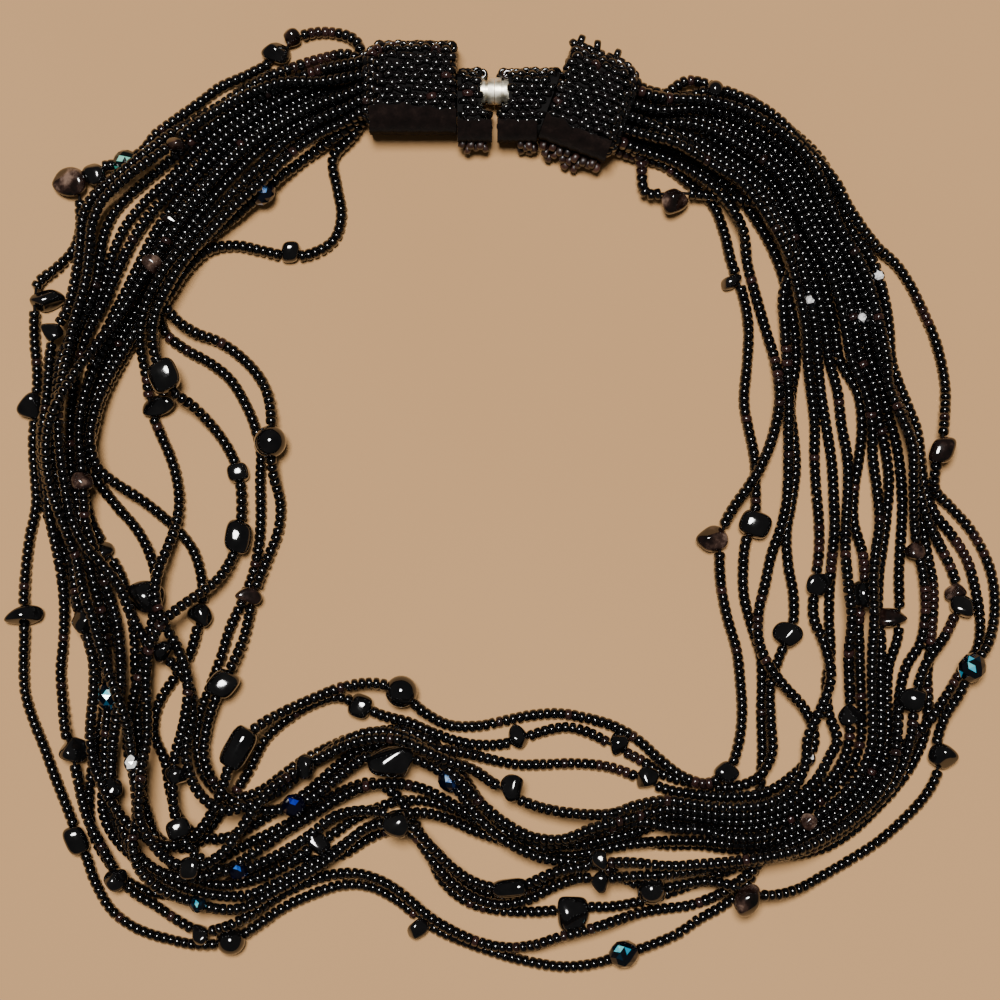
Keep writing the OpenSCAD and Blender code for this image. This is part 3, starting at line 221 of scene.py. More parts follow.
# Plan routes of the strands in millimetres, as part.scad has them, in stacking order, from the left end cap
# round to the right one: row, column at the left cap, column at the right cap, points
STRANDS = [
    (0, 0, 5, [
        (-27, 85.5), (-32, 87), (-37.5, 86), (-41.5, 82), (-47, 79), (-52, 76.8), (-56, 73.8), (-60, 71),
        (-64, 68), (-66.5, 64.8), (-70, 62.6), (-74, 61.8), (-78, 59), (-78, 54.6), (-78.1, 50.2),
        (-79.3, 46.6), (-82.3, 43.3), (-86, 40), (-86.5, 35), (-86.5, 29), (-86, 23), (-86.3, 17),
        (-86.8, 10), (-86.5, 4), (-86.3, -1), (-87.5, -7), (-88.2, -13), (-88.5, -19), (-88.4, -25),
        (-88.6, -31), (-88.3, -36), (-86.8, -41), (-84.8, -46), (-83, -51), (-81, -56), (-79, -61),
        (-77, -66), (-75.3, -71), (-72.5, -76), (-68, -79.5), (-62, -81.6), (-56, -82.6), (-50, -81.8),
        (-45.5, -79.3), (-40.5, -76), (-35, -73.4), (-29, -71.6), (-24, -72), (-19.5, -74.2),
        (-15.5, -77.3), (-11, -80.3), (-6, -82.4), (0, -84.5), (6, -86), (12, -86.8), (18, -86),
        (23, -84.3), (28, -82.7), (33, -80.7), (37, -78), (41.5, -75.5), (45.5, -72), (48, -67),
        (48.5, -60), (48.5, -53), (48.8, -46), (48.6, -40), (48.7, -34), (48.5, -29), (46.8, -23.5),
        (45.4, -18), (45.2, -13), (45.6, -8), (47.3, -3), (47.5, 3), (47.3, 8), (46.3, 13), (45.4, 18),
        (46, 26), (46.2, 32), (45.2, 38), (43.1, 44), (41.6, 50), (39.5, 55), (35.5, 58.5), (30, 62.5),
        (25.6, 63.5)
    ]),
    (0, 1, 1, [
        (-28, 79.5), (-34, 78.5), (-40, 76), (-46, 72.5), (-51.5, 69), (-56.5, 65), (-61, 60),
        (-65.8, 55.6), (-69.7, 50.8), (-72, 45.8), (-73.4, 41), (-75.2, 36.6), (-77.5, 32), (-80, 27),
        (-82.5, 21), (-84.5, 15), (-85, 9), (-84.8, 3), (-84, -3), (-81.8, -8), (-79.9, -13), (-79, -18),
        (-77.5, -24), (-75.5, -28.5), (-74, -33), (-73.8, -39), (-75, -45), (-76, -51), (-76.5, -56),
        (-76, -61), (-74, -65.5), (-71, -69.5), (-66.5, -72.5), (-61, -73.5), (-55.5, -73.5), (-50, -71),
        (-45, -68.5), (-39.5, -66.3), (-34, -67), (-29, -65.8), (-25, -63.3), (-20.5, -61.5),
        (-16, -62.3), (-12, -65.3), (-8.5, -69.2), (-4.5, -72.3), (0.5, -73.6), (5.5, -72.6), (10, -69.8),
        (14.5, -66.8), (19.5, -64.5), (25, -63.6), (31, -64.2), (37, -64.2), (43, -64.8), (49, -64.5),
        (56.3, -62.5), (63, -58.9), (68.3, -54), (71.3, -48.5), (72.2, -42), (72, -36), (72.3, -31),
        (74, -25.5), (74.3, -20), (74.2, -14), (74.5, -8), (74.8, -2), (74.6, 4), (73.8, 10),
        (72.3, 15.5), (70.8, 21.5), (69, 26), (67.8, 32), (66.2, 38), (63.8, 44), (60.3, 50), (54.2, 62),
        (46, 68.3), (38, 71.3), (28.9, 72.8)
    ]),
    (0, 2, 4, [
        (-28, 76.5), (-34, 75.5), (-40, 73), (-46, 69.5), (-51.5, 65), (-56.5, 60), (-60.5, 55),
        (-64, 50), (-67, 44), (-70, 38), (-73, 32), (-75.5, 26), (-77, 20), (-78, 14), (-78, 8),
        (-77.3, 2), (-76, -4), (-73.3, -9), (-70.5, -14), (-69, -19), (-68, -25), (-67.8, -31),
        (-67.5, -37), (-67.3, -43), (-66.6, -49), (-66.3, -55), (-65.5, -60), (-62, -64), (-57, -64.5),
        (-53.5, -60.5), (-50, -55.5), (-46.5, -50), (-44, -45), (-40.5, -41.5), (-35.5, -38.3),
        (-30, -36.6), (-25.5, -38.5), (-21, -40.3), (-17, -41.3), (-12.5, -43.3), (-7.5, -45),
        (-2.5, -45.6), (2.5, -45), (7.5, -43.2), (12.5, -42.3), (17, -43.5), (21.5, -46), (26, -48.3),
        (31, -51.3), (37, -52.8), (43, -53.3), (47.8, -51.5), (50.4, -47), (50.2, -41), (50.2, -35),
        (52, -29), (54.3, -24), (54.6, -18), (53.6, -12), (53.3, -6), (54.3, 0), (55, 6), (54.6, 12),
        (54, 17), (55, 26), (54.7, 32), (53.5, 38), (51.8, 44), (48.9, 50), (43.5, 57.4), (38, 61),
        (32.5, 64.5), (26.5, 66)
    ]),
    (0, 3, 2, [
        (-28, 74), (-34, 72.5), (-40, 69), (-45.5, 65), (-50.5, 60), (-55, 55), (-59, 49.5), (-62.5, 44),
        (-66, 38), (-69.5, 32), (-72.5, 26), (-75, 20), (-76.6, 14), (-76.4, 8), (-74.4, 3), (-71, -1.5),
        (-68.3, -4.5), (-66, -8), (-64.3, -12), (-63.5, -17), (-64.5, -23), (-66, -29), (-67.5, -35),
        (-68.8, -41), (-69, -46), (-68, -51), (-66, -56), (-64.5, -61), (-62.5, -65.5), (-59, -69),
        (-54.5, -71), (-49.5, -71.3), (-44, -69.8), (-39, -67.3), (-35.5, -64.8), (-31, -62),
        (-27, -59.3), (-23, -57.3), (-18.5, -56), (-14, -56), (-9, -57.5), (-4, -60), (1, -62.7),
        (6, -65), (11.5, -66), (17, -65.3), (23, -64), (30, -63.3), (37, -63.2), (43, -63.6), (49, -63.4),
        (56, -61.4), (62.5, -57.8), (67.3, -52.9), (70.2, -47.3), (70.7, -41), (70.6, -35), (70.8, -26),
        (70.3, -20), (70.5, -14), (71.3, -8), (72, -2), (72.3, 4), (71.5, 10), (70.3, 15.5), (69.5, 21),
        (67, 26), (66, 32), (64.4, 38), (62.2, 44), (58.7, 50), (52.8, 61.3), (45, 67.2), (37, 70.5),
        (28.2, 70.8)
    ]),
    (0, 4, 3, [
        (-28, 71), (-33.5, 68.5), (-39, 65.5), (-43.5, 61.5), (-48, 57), (-52.5, 52.5), (-56.5, 48),
        (-60, 43), (-63, 37.5), (-62.5, 31.5), (-58.5, 28), (-54, 25.5), (-50.3, 22.5), (-47.7, 18.5),
        (-45.7, 14), (-44.5, 9), (-44.6, 3), (-44.5, -2), (-44.8, -8), (-46, -14), (-48, -19),
        (-50.3, -24), (-51.8, -29), (-53.8, -34.5), (-55.8, -40), (-56.3, -46), (-54.8, -51.5),
        (-50.8, -55), (-45.5, -54.5), (-41.5, -52), (-37.5, -49), (-33, -46.5), (-28.5, -44.5),
        (-24, -43.3), (-18.5, -42.8), (-13, -44.8), (-8.5, -49), (-5.5, -53.5), (-1.8, -58.5), (3, -61.8),
        (8.5, -63.5), (14, -63.8), (19.5, -62.8), (25, -61.5), (31, -59.8), (37, -60.1), (43, -61),
        (49, -60.5), (55.5, -58.4), (61, -54.8), (65, -50.3), (67, -45), (67.2, -39.5), (67, -34),
        (66.8, -28), (66.5, -22), (67.5, -16), (67.3, -10), (65.8, -4), (65.9, 2), (66.8, 8), (67.3, 14),
        (66.5, 20), (63.2, 26), (62.2, 32), (60.8, 38), (58.8, 44), (55.4, 50), (49.8, 60), (42, 65.3),
        (35, 69.5), (27.5, 68.8)
    ]),
    (0, 5, 0, [
        (-27.5, 67.5), (-31, 63.5), (-30.3, 58), (-29.5, 53), (-30.8, 48.5), (-34.5, 46), (-39, 45.3),
        (-44, 46.3), (-49, 47.3), (-54, 46.5), (-58, 43), (-61, 38.5), (-64.5, 34), (-68, 29.5),
        (-71, 24.5), (-73.7, 19), (-75.2, 13), (-76.3, 7), (-77, 1), (-76.8, -5), (-75.5, -11),
        (-74, -16.5), (-72.3, -22), (-71, -27.5), (-70.7, -33), (-71.5, -39), (-72.7, -44), (-73, -50),
        (-74, -56), (-72.8, -61), (-69, -65.5), (-64.5, -68.5), (-59.5, -69.5), (-54, -67.5), (-49, -65),
        (-44, -62.5), (-39, -60), (-34, -57), (-29, -54), (-24, -52.5), (-19.5, -54.5), (-16, -59.5),
        (-13.4, -65), (-10.6, -70.8), (-6.3, -74.6), (-1, -76.2), (5, -76.6), (10.5, -76.2),
        (15.5, -75.6), (20.5, -75.6), (26, -74.7), (31, -73.2), (36, -71.4), (41, -69.2), (46, -67.4),
        (50.5, -66.3), (55.5, -65.9), (61, -64.4), (65.5, -61.6), (70, -57.4), (74, -53), (77, -48.5),
        (79, -43.5), (79.7, -38), (79.5, -33), (80, -28), (80.5, -22), (80.6, -16), (79.5, -10),
        (78.5, -4), (77.5, 2), (77.2, 8), (76.3, 13), (74.6, 18), (72, 26), (71.2, 32), (70, 38),
        (68, 44), (64.3, 50), (58, 63.6), (49.5, 70.8), (41.5, 74.4), (29.9, 75.5)
    ]),
    (1, 0, 0, [
        (-28, 82.5), (-34, 81.7), (-40, 79.5), (-46, 77), (-51, 74), (-56, 71), (-61, 68), (-65, 64.5),
        (-69.4, 61), (-73, 58.3), (-76, 55.4), (-77.5, 52), (-77.8, 48), (-78.2, 44), (-78.9, 39.8),
        (-80, 35.5), (-82.3, 31), (-83.3, 26), (-83.5, 21), (-84, 15), (-84.3, 9), (-83.8, 3),
        (-83.5, -3), (-82.3, -9), (-81.3, -15), (-81, -21), (-81.3, -27), (-81.7, -32), (-81.2, -38),
        (-80.5, -43), (-78.8, -49), (-77.8, -54), (-76.5, -59), (-74, -64), (-71.5, -68.5), (-68, -72.7),
        (-64, -75.2), (-60, -78), (-55.5, -80), (-51, -79), (-46, -76.7), (-41.5, -73.8), (-37, -71.5),
        (-32, -69.8), (-27, -69.3), (-22, -70.7), (-18, -73.2), (-13.5, -77), (-9, -79.8), (-4, -82),
        (1, -83), (6, -82.5), (11, -80.8), (16, -79.5), (21, -78), (26, -76.7), (31, -76), (36, -75.2),
        (41, -73), (45.5, -69.6), (50, -65.4), (56, -62.4), (62.5, -58.7), (67.8, -54.3), (71.8, -49.4),
        (75.5, -45.2), (79.3, -41.2), (82.8, -36.4), (86, -31.5), (88.8, -27.5), (89.3, -22.5),
        (88.5, -17), (86.8, -11), (84, -6.5), (80.8, -2.5), (78.7, 2.5), (78, 8), (77.3, 13), (75.4, 18),
        (72.6, 26), (72.2, 32), (71.2, 38), (69.3, 44), (65.3, 50), (59.3, 63.3), (51, 70.5), (43, 75),
        (35, 77.8), (29.6, 74.7)
    ]),
    (1, 1, 3, [
        (-28, 78.3), (-34, 77), (-40, 74.5), (-46, 71), (-51.5, 67), (-56, 62.5), (-60.5, 58),
        (-64.8, 53.3), (-68.3, 48.2), (-70.9, 42.8), (-73, 37.6), (-76.5, 31), (-78.5, 25), (-79.5, 19),
        (-79.8, 13), (-79.5, 7), (-78.5, 1), (-77.3, -5), (-76.3, -11), (-75, -17), (-73.8, -22),
        (-73, -27), (-72.7, -32), (-72.5, -38), (-73, -44), (-73.2, -50), (-72.5, -56), (-70.5, -61),
        (-67.5, -65.5), (-63.5, -69), (-58.5, -71.5), (-53, -73), (-47, -73.2), (-41.5, -71),
        (-36, -68.2), (-30.5, -65), (-25.5, -61.5), (-20.5, -58.8), (-15, -57.8), (-10, -59), (-5, -61.3),
        (0, -63), (5, -64.3), (10, -64), (15, -62.3), (20, -60.8), (26, -59.8), (31, -58.4), (37, -59),
        (43, -59.6), (49, -59), (55, -56.9), (60, -53.2), (63.3, -49), (64.8, -44.5), (65, -39.5),
        (64.8, -34), (64.5, -28), (64.8, -22), (64.2, -16), (63.8, -10), (64.2, -4), (64.6, 2), (64.5, 8),
        (63.5, 14), (62.8, 20), (61.2, 26), (60.3, 32), (59, 38), (57, 44), (53.7, 50), (48.2, 59),
        (40.8, 64), (34, 67.5), (27, 67.4)
    ]),
    (1, 2, 2, [
        (-28, 75.5), (-34, 74.2), (-40, 71.5), (-45.5, 68), (-50.5, 63.5), (-55, 58.5), (-59.5, 53.5),
        (-63, 48), (-66, 42), (-69, 36), (-72, 30.5), (-75, 25), (-77, 19), (-77.7, 13), (-77.2, 7),
        (-76.7, 1), (-76.4, -4), (-75, -9), (-73.5, -14), (-72, -19), (-70.7, -24), (-70, -29),
        (-69.8, -34), (-70.5, -40), (-71.5, -46), (-71.8, -52), (-70.8, -57.5), (-68.7, -62.5),
        (-65.5, -66.5), (-61, -69), (-55.5, -69.5), (-50, -68), (-45, -65), (-40, -61.5), (-35, -58.5),
        (-30, -55.3), (-25, -53), (-19.5, -52.5), (-14, -53.7), (-9.5, -56), (-5, -58.7), (0, -61),
        (5.5, -62.8), (11, -63), (16, -61.3), (21, -60), (26.5, -59.3), (32, -60.6), (37.5, -61),
        (43, -62.4), (49, -62), (55.5, -60), (61.5, -56.4), (66, -51.6), (68.6, -46), (69, -40),
        (68.8, -34), (68.8, -28), (69, -22), (68.7, -16), (69.3, -10), (70.3, -4), (70, 2), (69.2, 8),
        (69, 14), (67.8, 20), (65.2, 26), (64.1, 32), (62.6, 38), (60.5, 44), (57, 50), (51.2, 60.7),
        (43.5, 66.2), (36, 69.3), (27.8, 69.5)
    ]),
    (1, 3, 4, [
        (-28, 72.7), (-34, 71), (-40, 68.3), (-45, 64.5), (-49.5, 60), (-54, 55), (-58, 50),
        (-61.5, 44.5), (-64, 39), (-66.5, 33.5), (-69.5, 28), (-72.5, 22.5), (-74.6, 17), (-75.5, 11),
        (-74.3, 6), (-71, 3), (-66.5, 0), (-62.5, -3.3), (-59.3, -6.3), (-57, -9.5), (-55.6, -14),
        (-55.3, -19), (-56.3, -24), (-57.8, -29), (-60.8, -33.5), (-63.5, -38), (-64.3, -43.5),
        (-62.3, -48.5), (-61.3, -54), (-59.5, -59), (-56, -62.3), (-51, -62.7), (-46, -60.5),
        (-41, -57.5), (-36, -54.5), (-32, -51), (-27, -47), (-22, -45.5), (-17, -45), (-12, -46),
        (-7, -46.8), (-2, -48.2), (3, -49.2), (8, -49.2), (14, -49), (20, -49.6), (25, -51.3),
        (31, -53.8), (37, -54.7), (43, -55), (49, -54.3), (53.8, -51.5), (57.3, -48), (58.5, -44),
        (56.5, -38.8), (53, -34.8), (50, -31), (48, -26.5), (48, -21), (49.3, -15.5), (50.5, -10),
        (52.2, -5), (53.2, 0), (53.5, 6), (53.5, 12), (53.6, 18), (53.2, 26), (52.8, 32), (52.5, 38),
        (54, 43), (54.5, 48), (52.5, 52.5), (48, 54.8), (43, 56), (37.5, 56.6), (32, 57), (27, 57),
        (25.7, 63.9)
    ]),
    (1, 4, 1, [
        (-28, 69), (-34, 65), (-40, 60.5), (-44, 57), (-48.5, 53), (-53, 49.5), (-57.5, 46), (-61, 42),
        (-62.5, 38), (-60.5, 34), (-57, 31.3), (-52, 29.3), (-47, 25.5), (-43.7, 21), (-42.4, 16),
        (-42.5, 11), (-42, 5), (-40.8, -1), (-41.3, -6), (-43.2, -11), (-45.2, -16), (-46.5, -21),
        (-47.7, -26), (-49.8, -31), (-52.5, -36.5), (-54.3, -42), (-54.8, -47.5), (-53, -52),
        (-49, -55.8), (-44, -57.3), (-39, -56.8), (-34, -54.5), (-29, -50.5), (-24.5, -47.3),
        (-19.5, -46.5), (-14, -48.5), (-9.5, -51.5), (-6, -56), (-2.5, -60), (2, -63.5), (7, -65.8),
        (12.5, -66.7), (18, -67.7), (23, -70), (28, -72), (33, -71.3), (38.5, -70.5), (44, -71.5),
        (49.5, -73), (55, -72.2), (60, -69.8), (65, -67), (70, -63.8), (75, -59.5), (79, -55),
        (81.2, -50.5), (81, -45.5), (82.5, -40), (85, -36), (87.3, -31), (90.5, -26.5), (92, -21),
        (91.7, -15), (90.3, -10.5), (87.5, -5.5), (84, -1.5), (80.8, 2), (80.7, 6), (81.8, 11),
        (82.5, 16), (82.8, 21), (82, 26), (80.5, 31), (78.5, 35.5), (76.3, 40), (73.5, 44), (70, 47),
        (67, 50.5), (64.3, 54.5), (62.3, 58.5), (59, 62.5), (55, 66.8), (50.5, 71.2), (45, 74.3),
        (39.5, 75.9), (28.8, 72.6)
    ]),
    (2, 0, 4, [
        (-28, 80.5), (-34, 79.5), (-40, 77), (-46, 74), (-52, 70.5), (-57, 67), (-61.5, 63), (-66, 59.2),
        (-69.6, 56), (-72.3, 52.7), (-73.7, 49), (-74.4, 45), (-75, 40.5), (-76.5, 36), (-79, 31),
        (-81, 26), (-81.5, 20), (-82, 14), (-82.3, 8), (-81.5, 2), (-80.5, -4), (-79.5, -10),
        (-78.7, -16), (-77.8, -21), (-76.2, -25.5), (-74.9, -30), (-74.7, -35), (-75.3, -40),
        (-75.5, -45), (-74.5, -50), (-72, -55), (-69, -59), (-65.5, -62), (-61, -64), (-56.5, -62),
        (-53, -57.5), (-51, -52.5), (-49.5, -48), (-47.3, -44), (-43.5, -41), (-39, -38.7), (-34, -36.5),
        (-29, -34.6), (-23.5, -33.9), (-18.5, -35.3), (-14.5, -39), (-9.5, -41.8), (-4, -42), (1, -41),
        (6, -40), (11, -39.7), (16, -40.5), (21, -42), (25.5, -44.5), (29.5, -48), (34, -51.3),
        (38.5, -52.5), (42.5, -50), (44.3, -45.5), (45, -40), (44.7, -34), (44, -28), (42.3, -22),
        (41.1, -16), (40.8, -10), (41.5, -5), (43.5, -1), (46, 2.5), (48.5, 6.5), (50.5, 11.5),
        (51.6, 17), (51.6, 22), (50.9, 26.5), (49.3, 32), (47.6, 38), (46, 44), (45, 50), (41.2, 56.2),
        (37, 59.8), (31.5, 63), (26, 64.7)
    ]),
    (2, 1, 2, [
        (-28, 78), (-34, 77.3), (-40, 77.3), (-46, 75.3), (-52, 72.3), (-57, 69), (-61.5, 65),
        (-66.2, 61.4), (-70.4, 58.2), (-73.7, 55), (-75.4, 51), (-75.9, 46.5), (-76.4, 42), (-77.3, 37.6),
        (-78.5, 33.5), (-79.5, 27.5), (-80.5, 21.5), (-81, 15), (-80.7, 9), (-80, 3), (-79, -3),
        (-76.5, -8), (-73, -12), (-70, -16), (-68, -21), (-65.5, -25.5), (-62.5, -28.5), (-59.5, -31.5),
        (-57.3, -35.5), (-57, -40.5), (-58, -45), (-57.3, -50), (-54.8, -54.5), (-50.5, -57), (-46, -56),
        (-42, -54.3), (-38, -51.5), (-34, -48.3), (-29.5, -45), (-25, -43), (-20, -42.7), (-15.5, -44.5),
        (-11, -48), (-7, -52), (-3, -56.3), (1, -59.5), (6, -62), (11.5, -62.2), (16.5, -60.3),
        (22, -58.8), (28, -57.5), (31, -57), (37, -57.6), (43, -58.1), (49, -57.5), (54.5, -55.3),
        (58.7, -51.5), (61, -47.5), (62.5, -44.5), (61, -39.5), (60.7, -34), (61.5, -28.5), (61.2, -23),
        (61.3, -17), (61.6, -11), (62, -5), (62, 1), (61.7, 7), (60.8, 13), (59.8, 19), (59, 26),
        (58.4, 32), (57.2, 38), (55.3, 44), (52, 50), (46.3, 58.8), (39.5, 63.2), (33, 66.5), (27.7, 69.3)
    ]),
    (2, 2, 1, [
        (-28, 75), (-34, 73), (-40, 70), (-46, 66), (-51, 61.5), (-55.5, 56.5), (-59.5, 51),
        (-63.5, 45.5), (-67, 39.5), (-70.5, 34), (-74, 29), (-77.5, 24), (-80.5, 18.5), (-82.7, 12.5),
        (-83, 6), (-81.8, 0), (-80, -5.5), (-78.2, -11), (-76.8, -16.5), (-75, -21.5), (-73.7, -26.5),
        (-72, -31.5), (-69.8, -36.5), (-68.4, -41.5), (-67.8, -47), (-67, -52.5), (-66.6, -58),
        (-67.3, -63), (-66, -68), (-62, -71.8), (-57, -74), (-52, -75.5), (-47, -75.2), (-42.5, -72.7),
        (-37.5, -70), (-32.5, -67), (-28.5, -63.7), (-24.5, -60.5), (-20, -59.7), (-15.8, -62),
        (-12.5, -66.5), (-9.3, -70.5), (-5, -73.6), (0, -75), (5.5, -74), (10, -71.7), (14.5, -70),
        (19, -69.8), (24.5, -69.2), (31, -68.8), (37, -68.3), (43, -67.3), (49, -66), (57, -64.2),
        (64.3, -60.7), (69.9, -56), (73.7, -50.8), (75.8, -44.8), (76.8, -38.5), (78, -33), (79.5, -29.5),
        (83, -24.5), (85.3, -18.5), (84, -13), (81.5, -8), (79, -3), (77.3, 3), (76.3, 9), (75, 14.5),
        (73, 19.5), (70.6, 26), (69.5, 32), (67.8, 38), (65.4, 44), (61.8, 50), (55.5, 62.8),
        (47.2, 69.2), (39, 72.5), (28.7, 72)
    ]),
    (2, 3, 0, [
        (-28, 72.5), (-34, 70), (-40, 66), (-45, 61), (-49.5, 56.5), (-54, 52), (-58.5, 47),
        (-62.5, 41.5), (-65.5, 35.5), (-66.5, 29), (-65.6, 23), (-64.9, 17), (-63, 12), (-61.3, 8),
        (-60, 3.5), (-59.6, -1), (-60.2, -5), (-61.5, -9), (-63, -13), (-63.5, -17.5), (-62, -22.5),
        (-59.7, -27), (-57.9, -32), (-57.7, -37), (-58.6, -42), (-60, -47), (-60.4, -52), (-60, -57.5),
        (-58.3, -62.5), (-54.5, -66.5), (-49.5, -68.5), (-44, -67), (-39, -64.5), (-34.5, -61.5),
        (-30.5, -58.5), (-26, -57.3), (-21, -57.6), (-16.5, -59.8), (-12.7, -63.8), (-9.2, -67.5),
        (-5, -70.5), (0, -71.9), (5, -71), (9, -69), (14, -67.8), (19.5, -66.8), (25, -66.6), (31, -67.2),
        (37, -66.9), (43, -66.3), (49, -65.4), (56.8, -63.4), (63.8, -59.8), (69.3, -54.8), (72.5, -49.2),
        (73.6, -42.5), (74.2, -36.5), (75.5, -31), (78.2, -26.5), (79, -20), (78.6, -14), (77.3, -8),
        (76.5, -2), (76.3, 4), (76, 10), (74, 15.5), (71.8, 21), (71.5, 26), (70.4, 32), (69, 38),
        (66.8, 44), (63.2, 50), (56.8, 63.4), (48.2, 70.3), (40, 73.6), (29.5, 74.3)
    ]),
    (2, 4, 3, [
        (-28, 70), (-34, 67.3), (-39.5, 63), (-44, 58.5), (-48.5, 54.5), (-53, 50), (-57.5, 45),
        (-61, 39.5), (-63.5, 34), (-64, 29), (-62.7, 24), (-60.3, 20), (-57, 17.5), (-53.7, 14),
        (-50.8, 10), (-48.8, 5.5), (-48, 0), (-48.3, -6), (-49.8, -11), (-52.2, -14.7), (-55.5, -17.3),
        (-59, -19.8), (-62, -22.5), (-64.5, -27), (-65.3, -32), (-65.2, -38), (-65, -44), (-65.7, -48.5),
        (-66, -53), (-66, -58), (-64.3, -62), (-61, -66), (-56.5, -67.5), (-51.5, -65.3), (-48, -61),
        (-45, -56.5), (-42, -53), (-38, -50.3), (-33, -47.5), (-28, -45), (-23, -43.7), (-18, -44),
        (-13.5, -46), (-9, -48), (-5, -49.5), (-1.5, -52), (3, -55), (8, -56.8), (14, -57.7), (20, -57.5),
        (25, -56), (31, -55.3), (37, -56.2), (43, -56.6), (49, -55.9), (54, -53.3), (56.5, -49),
        (57, -44), (59.5, -38.5), (61.3, -33), (60.3, -27), (58.3, -22), (58.5, -16), (59.3, -10),
        (59.3, -4), (58.8, 2), (58.5, 8), (58.5, 14), (57.8, 20), (57, 26), (56.5, 32), (55.3, 38),
        (53.6, 44), (50.5, 50), (45, 58), (38.8, 62), (32.5, 65.5), (26.9, 67.1)
    ]),
]

# Larger beads on nodes of their own: strand, form, size along the strand, across and up (mm), finish
ACCENTS = {
    "chip_01": (0, "chip", (4.6, 4.8, 4.0), "black"),
    "crystal_01": (0, "crystal", (4.4, 4.4, 4.4), "mint"),
    "chip_02": (0, "chip", (5.6, 6.4, 4.4), "smoky"),
    "chip_03": (0, "chip", (4.2, 6.6, 4.0), "black"),
    "chip_04": (0, "chip", (5.0, 5.4, 4.4), "black"),
    "chip_05": (0, "chip", (3.8, 7.4, 4.0), "black"),
    "block_01": (0, "block", (5.6, 4.2, 4.0), "black"),
    "round_01": (0, "round", (5.4, 5.4, 5.4), "black"),
    "crystal_02": (0, "crystal", (5.2, 5.2, 5.2), "teal"),
    "block_02": (0, "block", (5.0, 6.0, 4.4), "black"),
    "block_03": (2, "block", (4.2, 4.6, 4.0), "black"),
    "chip_06": (3, "chip", (6.0, 7.0, 4.6), "black"),
    "round_02": (4, "round", (5.4, 5.4, 5.4), "black"),
    "block_04": (5, "block", (3.4, 4.0, 3.4), "black"),
    "chip_07": (5, "chip", (6.0, 7.0, 4.6), "black"),
    "chip_08": (6, "chip", (5.0, 6.4, 4.4), "black"),
    "crystal_03": (7, "crystal", (4.6, 4.6, 4.6), "white"),
    "chip_09": (9, "chip", (4.6, 5.0, 4.0), "black"),
    "chip_10": (9, "chip", (5.0, 5.0, 4.0), "smoky"),
    "crystal_04": (10, "crystal", (4.6, 4.6, 4.6), "sky"),
    "round_03": (10, "round", (6.0, 6.0, 6.0), "black"),
    "block_05": (10, "block", (5.4, 5.4, 4.4), "black"),
    "crystal_05": (10, "crystal", (4.2, 4.2, 4.2), "navy"),
    "chip_11": (10, "chip", (8.6, 6.0, 4.6), "black"),
    "crystal_06": (10, "crystal", (4.4, 4.4, 4.4), "sky"),
    "round_04": (10, "round", (5.6, 5.6, 5.6), "black"),
    "chip_12": (10, "chip", (4.6, 6.4, 4.4), "smoky"),
    "chip_13": (10, "chip", (5.0, 5.6, 4.4), "black"),
    "crystal_07": (10, "crystal", (5.2, 5.2, 5.2), "teal"),
    "block_06": (10, "block", (5.4, 4.6, 4.2), "smoky"),
    "chip_14": (11, "chip", (5.0, 5.0, 4.0), "black"),
    "drop_01": (11, "drum", (8.0, 5.0, 5.0), "black"),
    "round_05": (11, "round", (6.0, 6.0, 6.0), "black"),
    "chip_15": (11, "chip", (5.0, 6.0, 4.2), "smoky"),
    "drop_02": (14, "chip", (3.8, 6.4, 4.0), "black"),
    "block_07": (15, "block", (6.2, 5.8, 4.8), "black"),
    "block_08": (15, "block", (6.2, 5.0, 4.4), "black"),
    "chip_16": (15, "chip", (4.6, 5.0, 4.0), "black"),
}

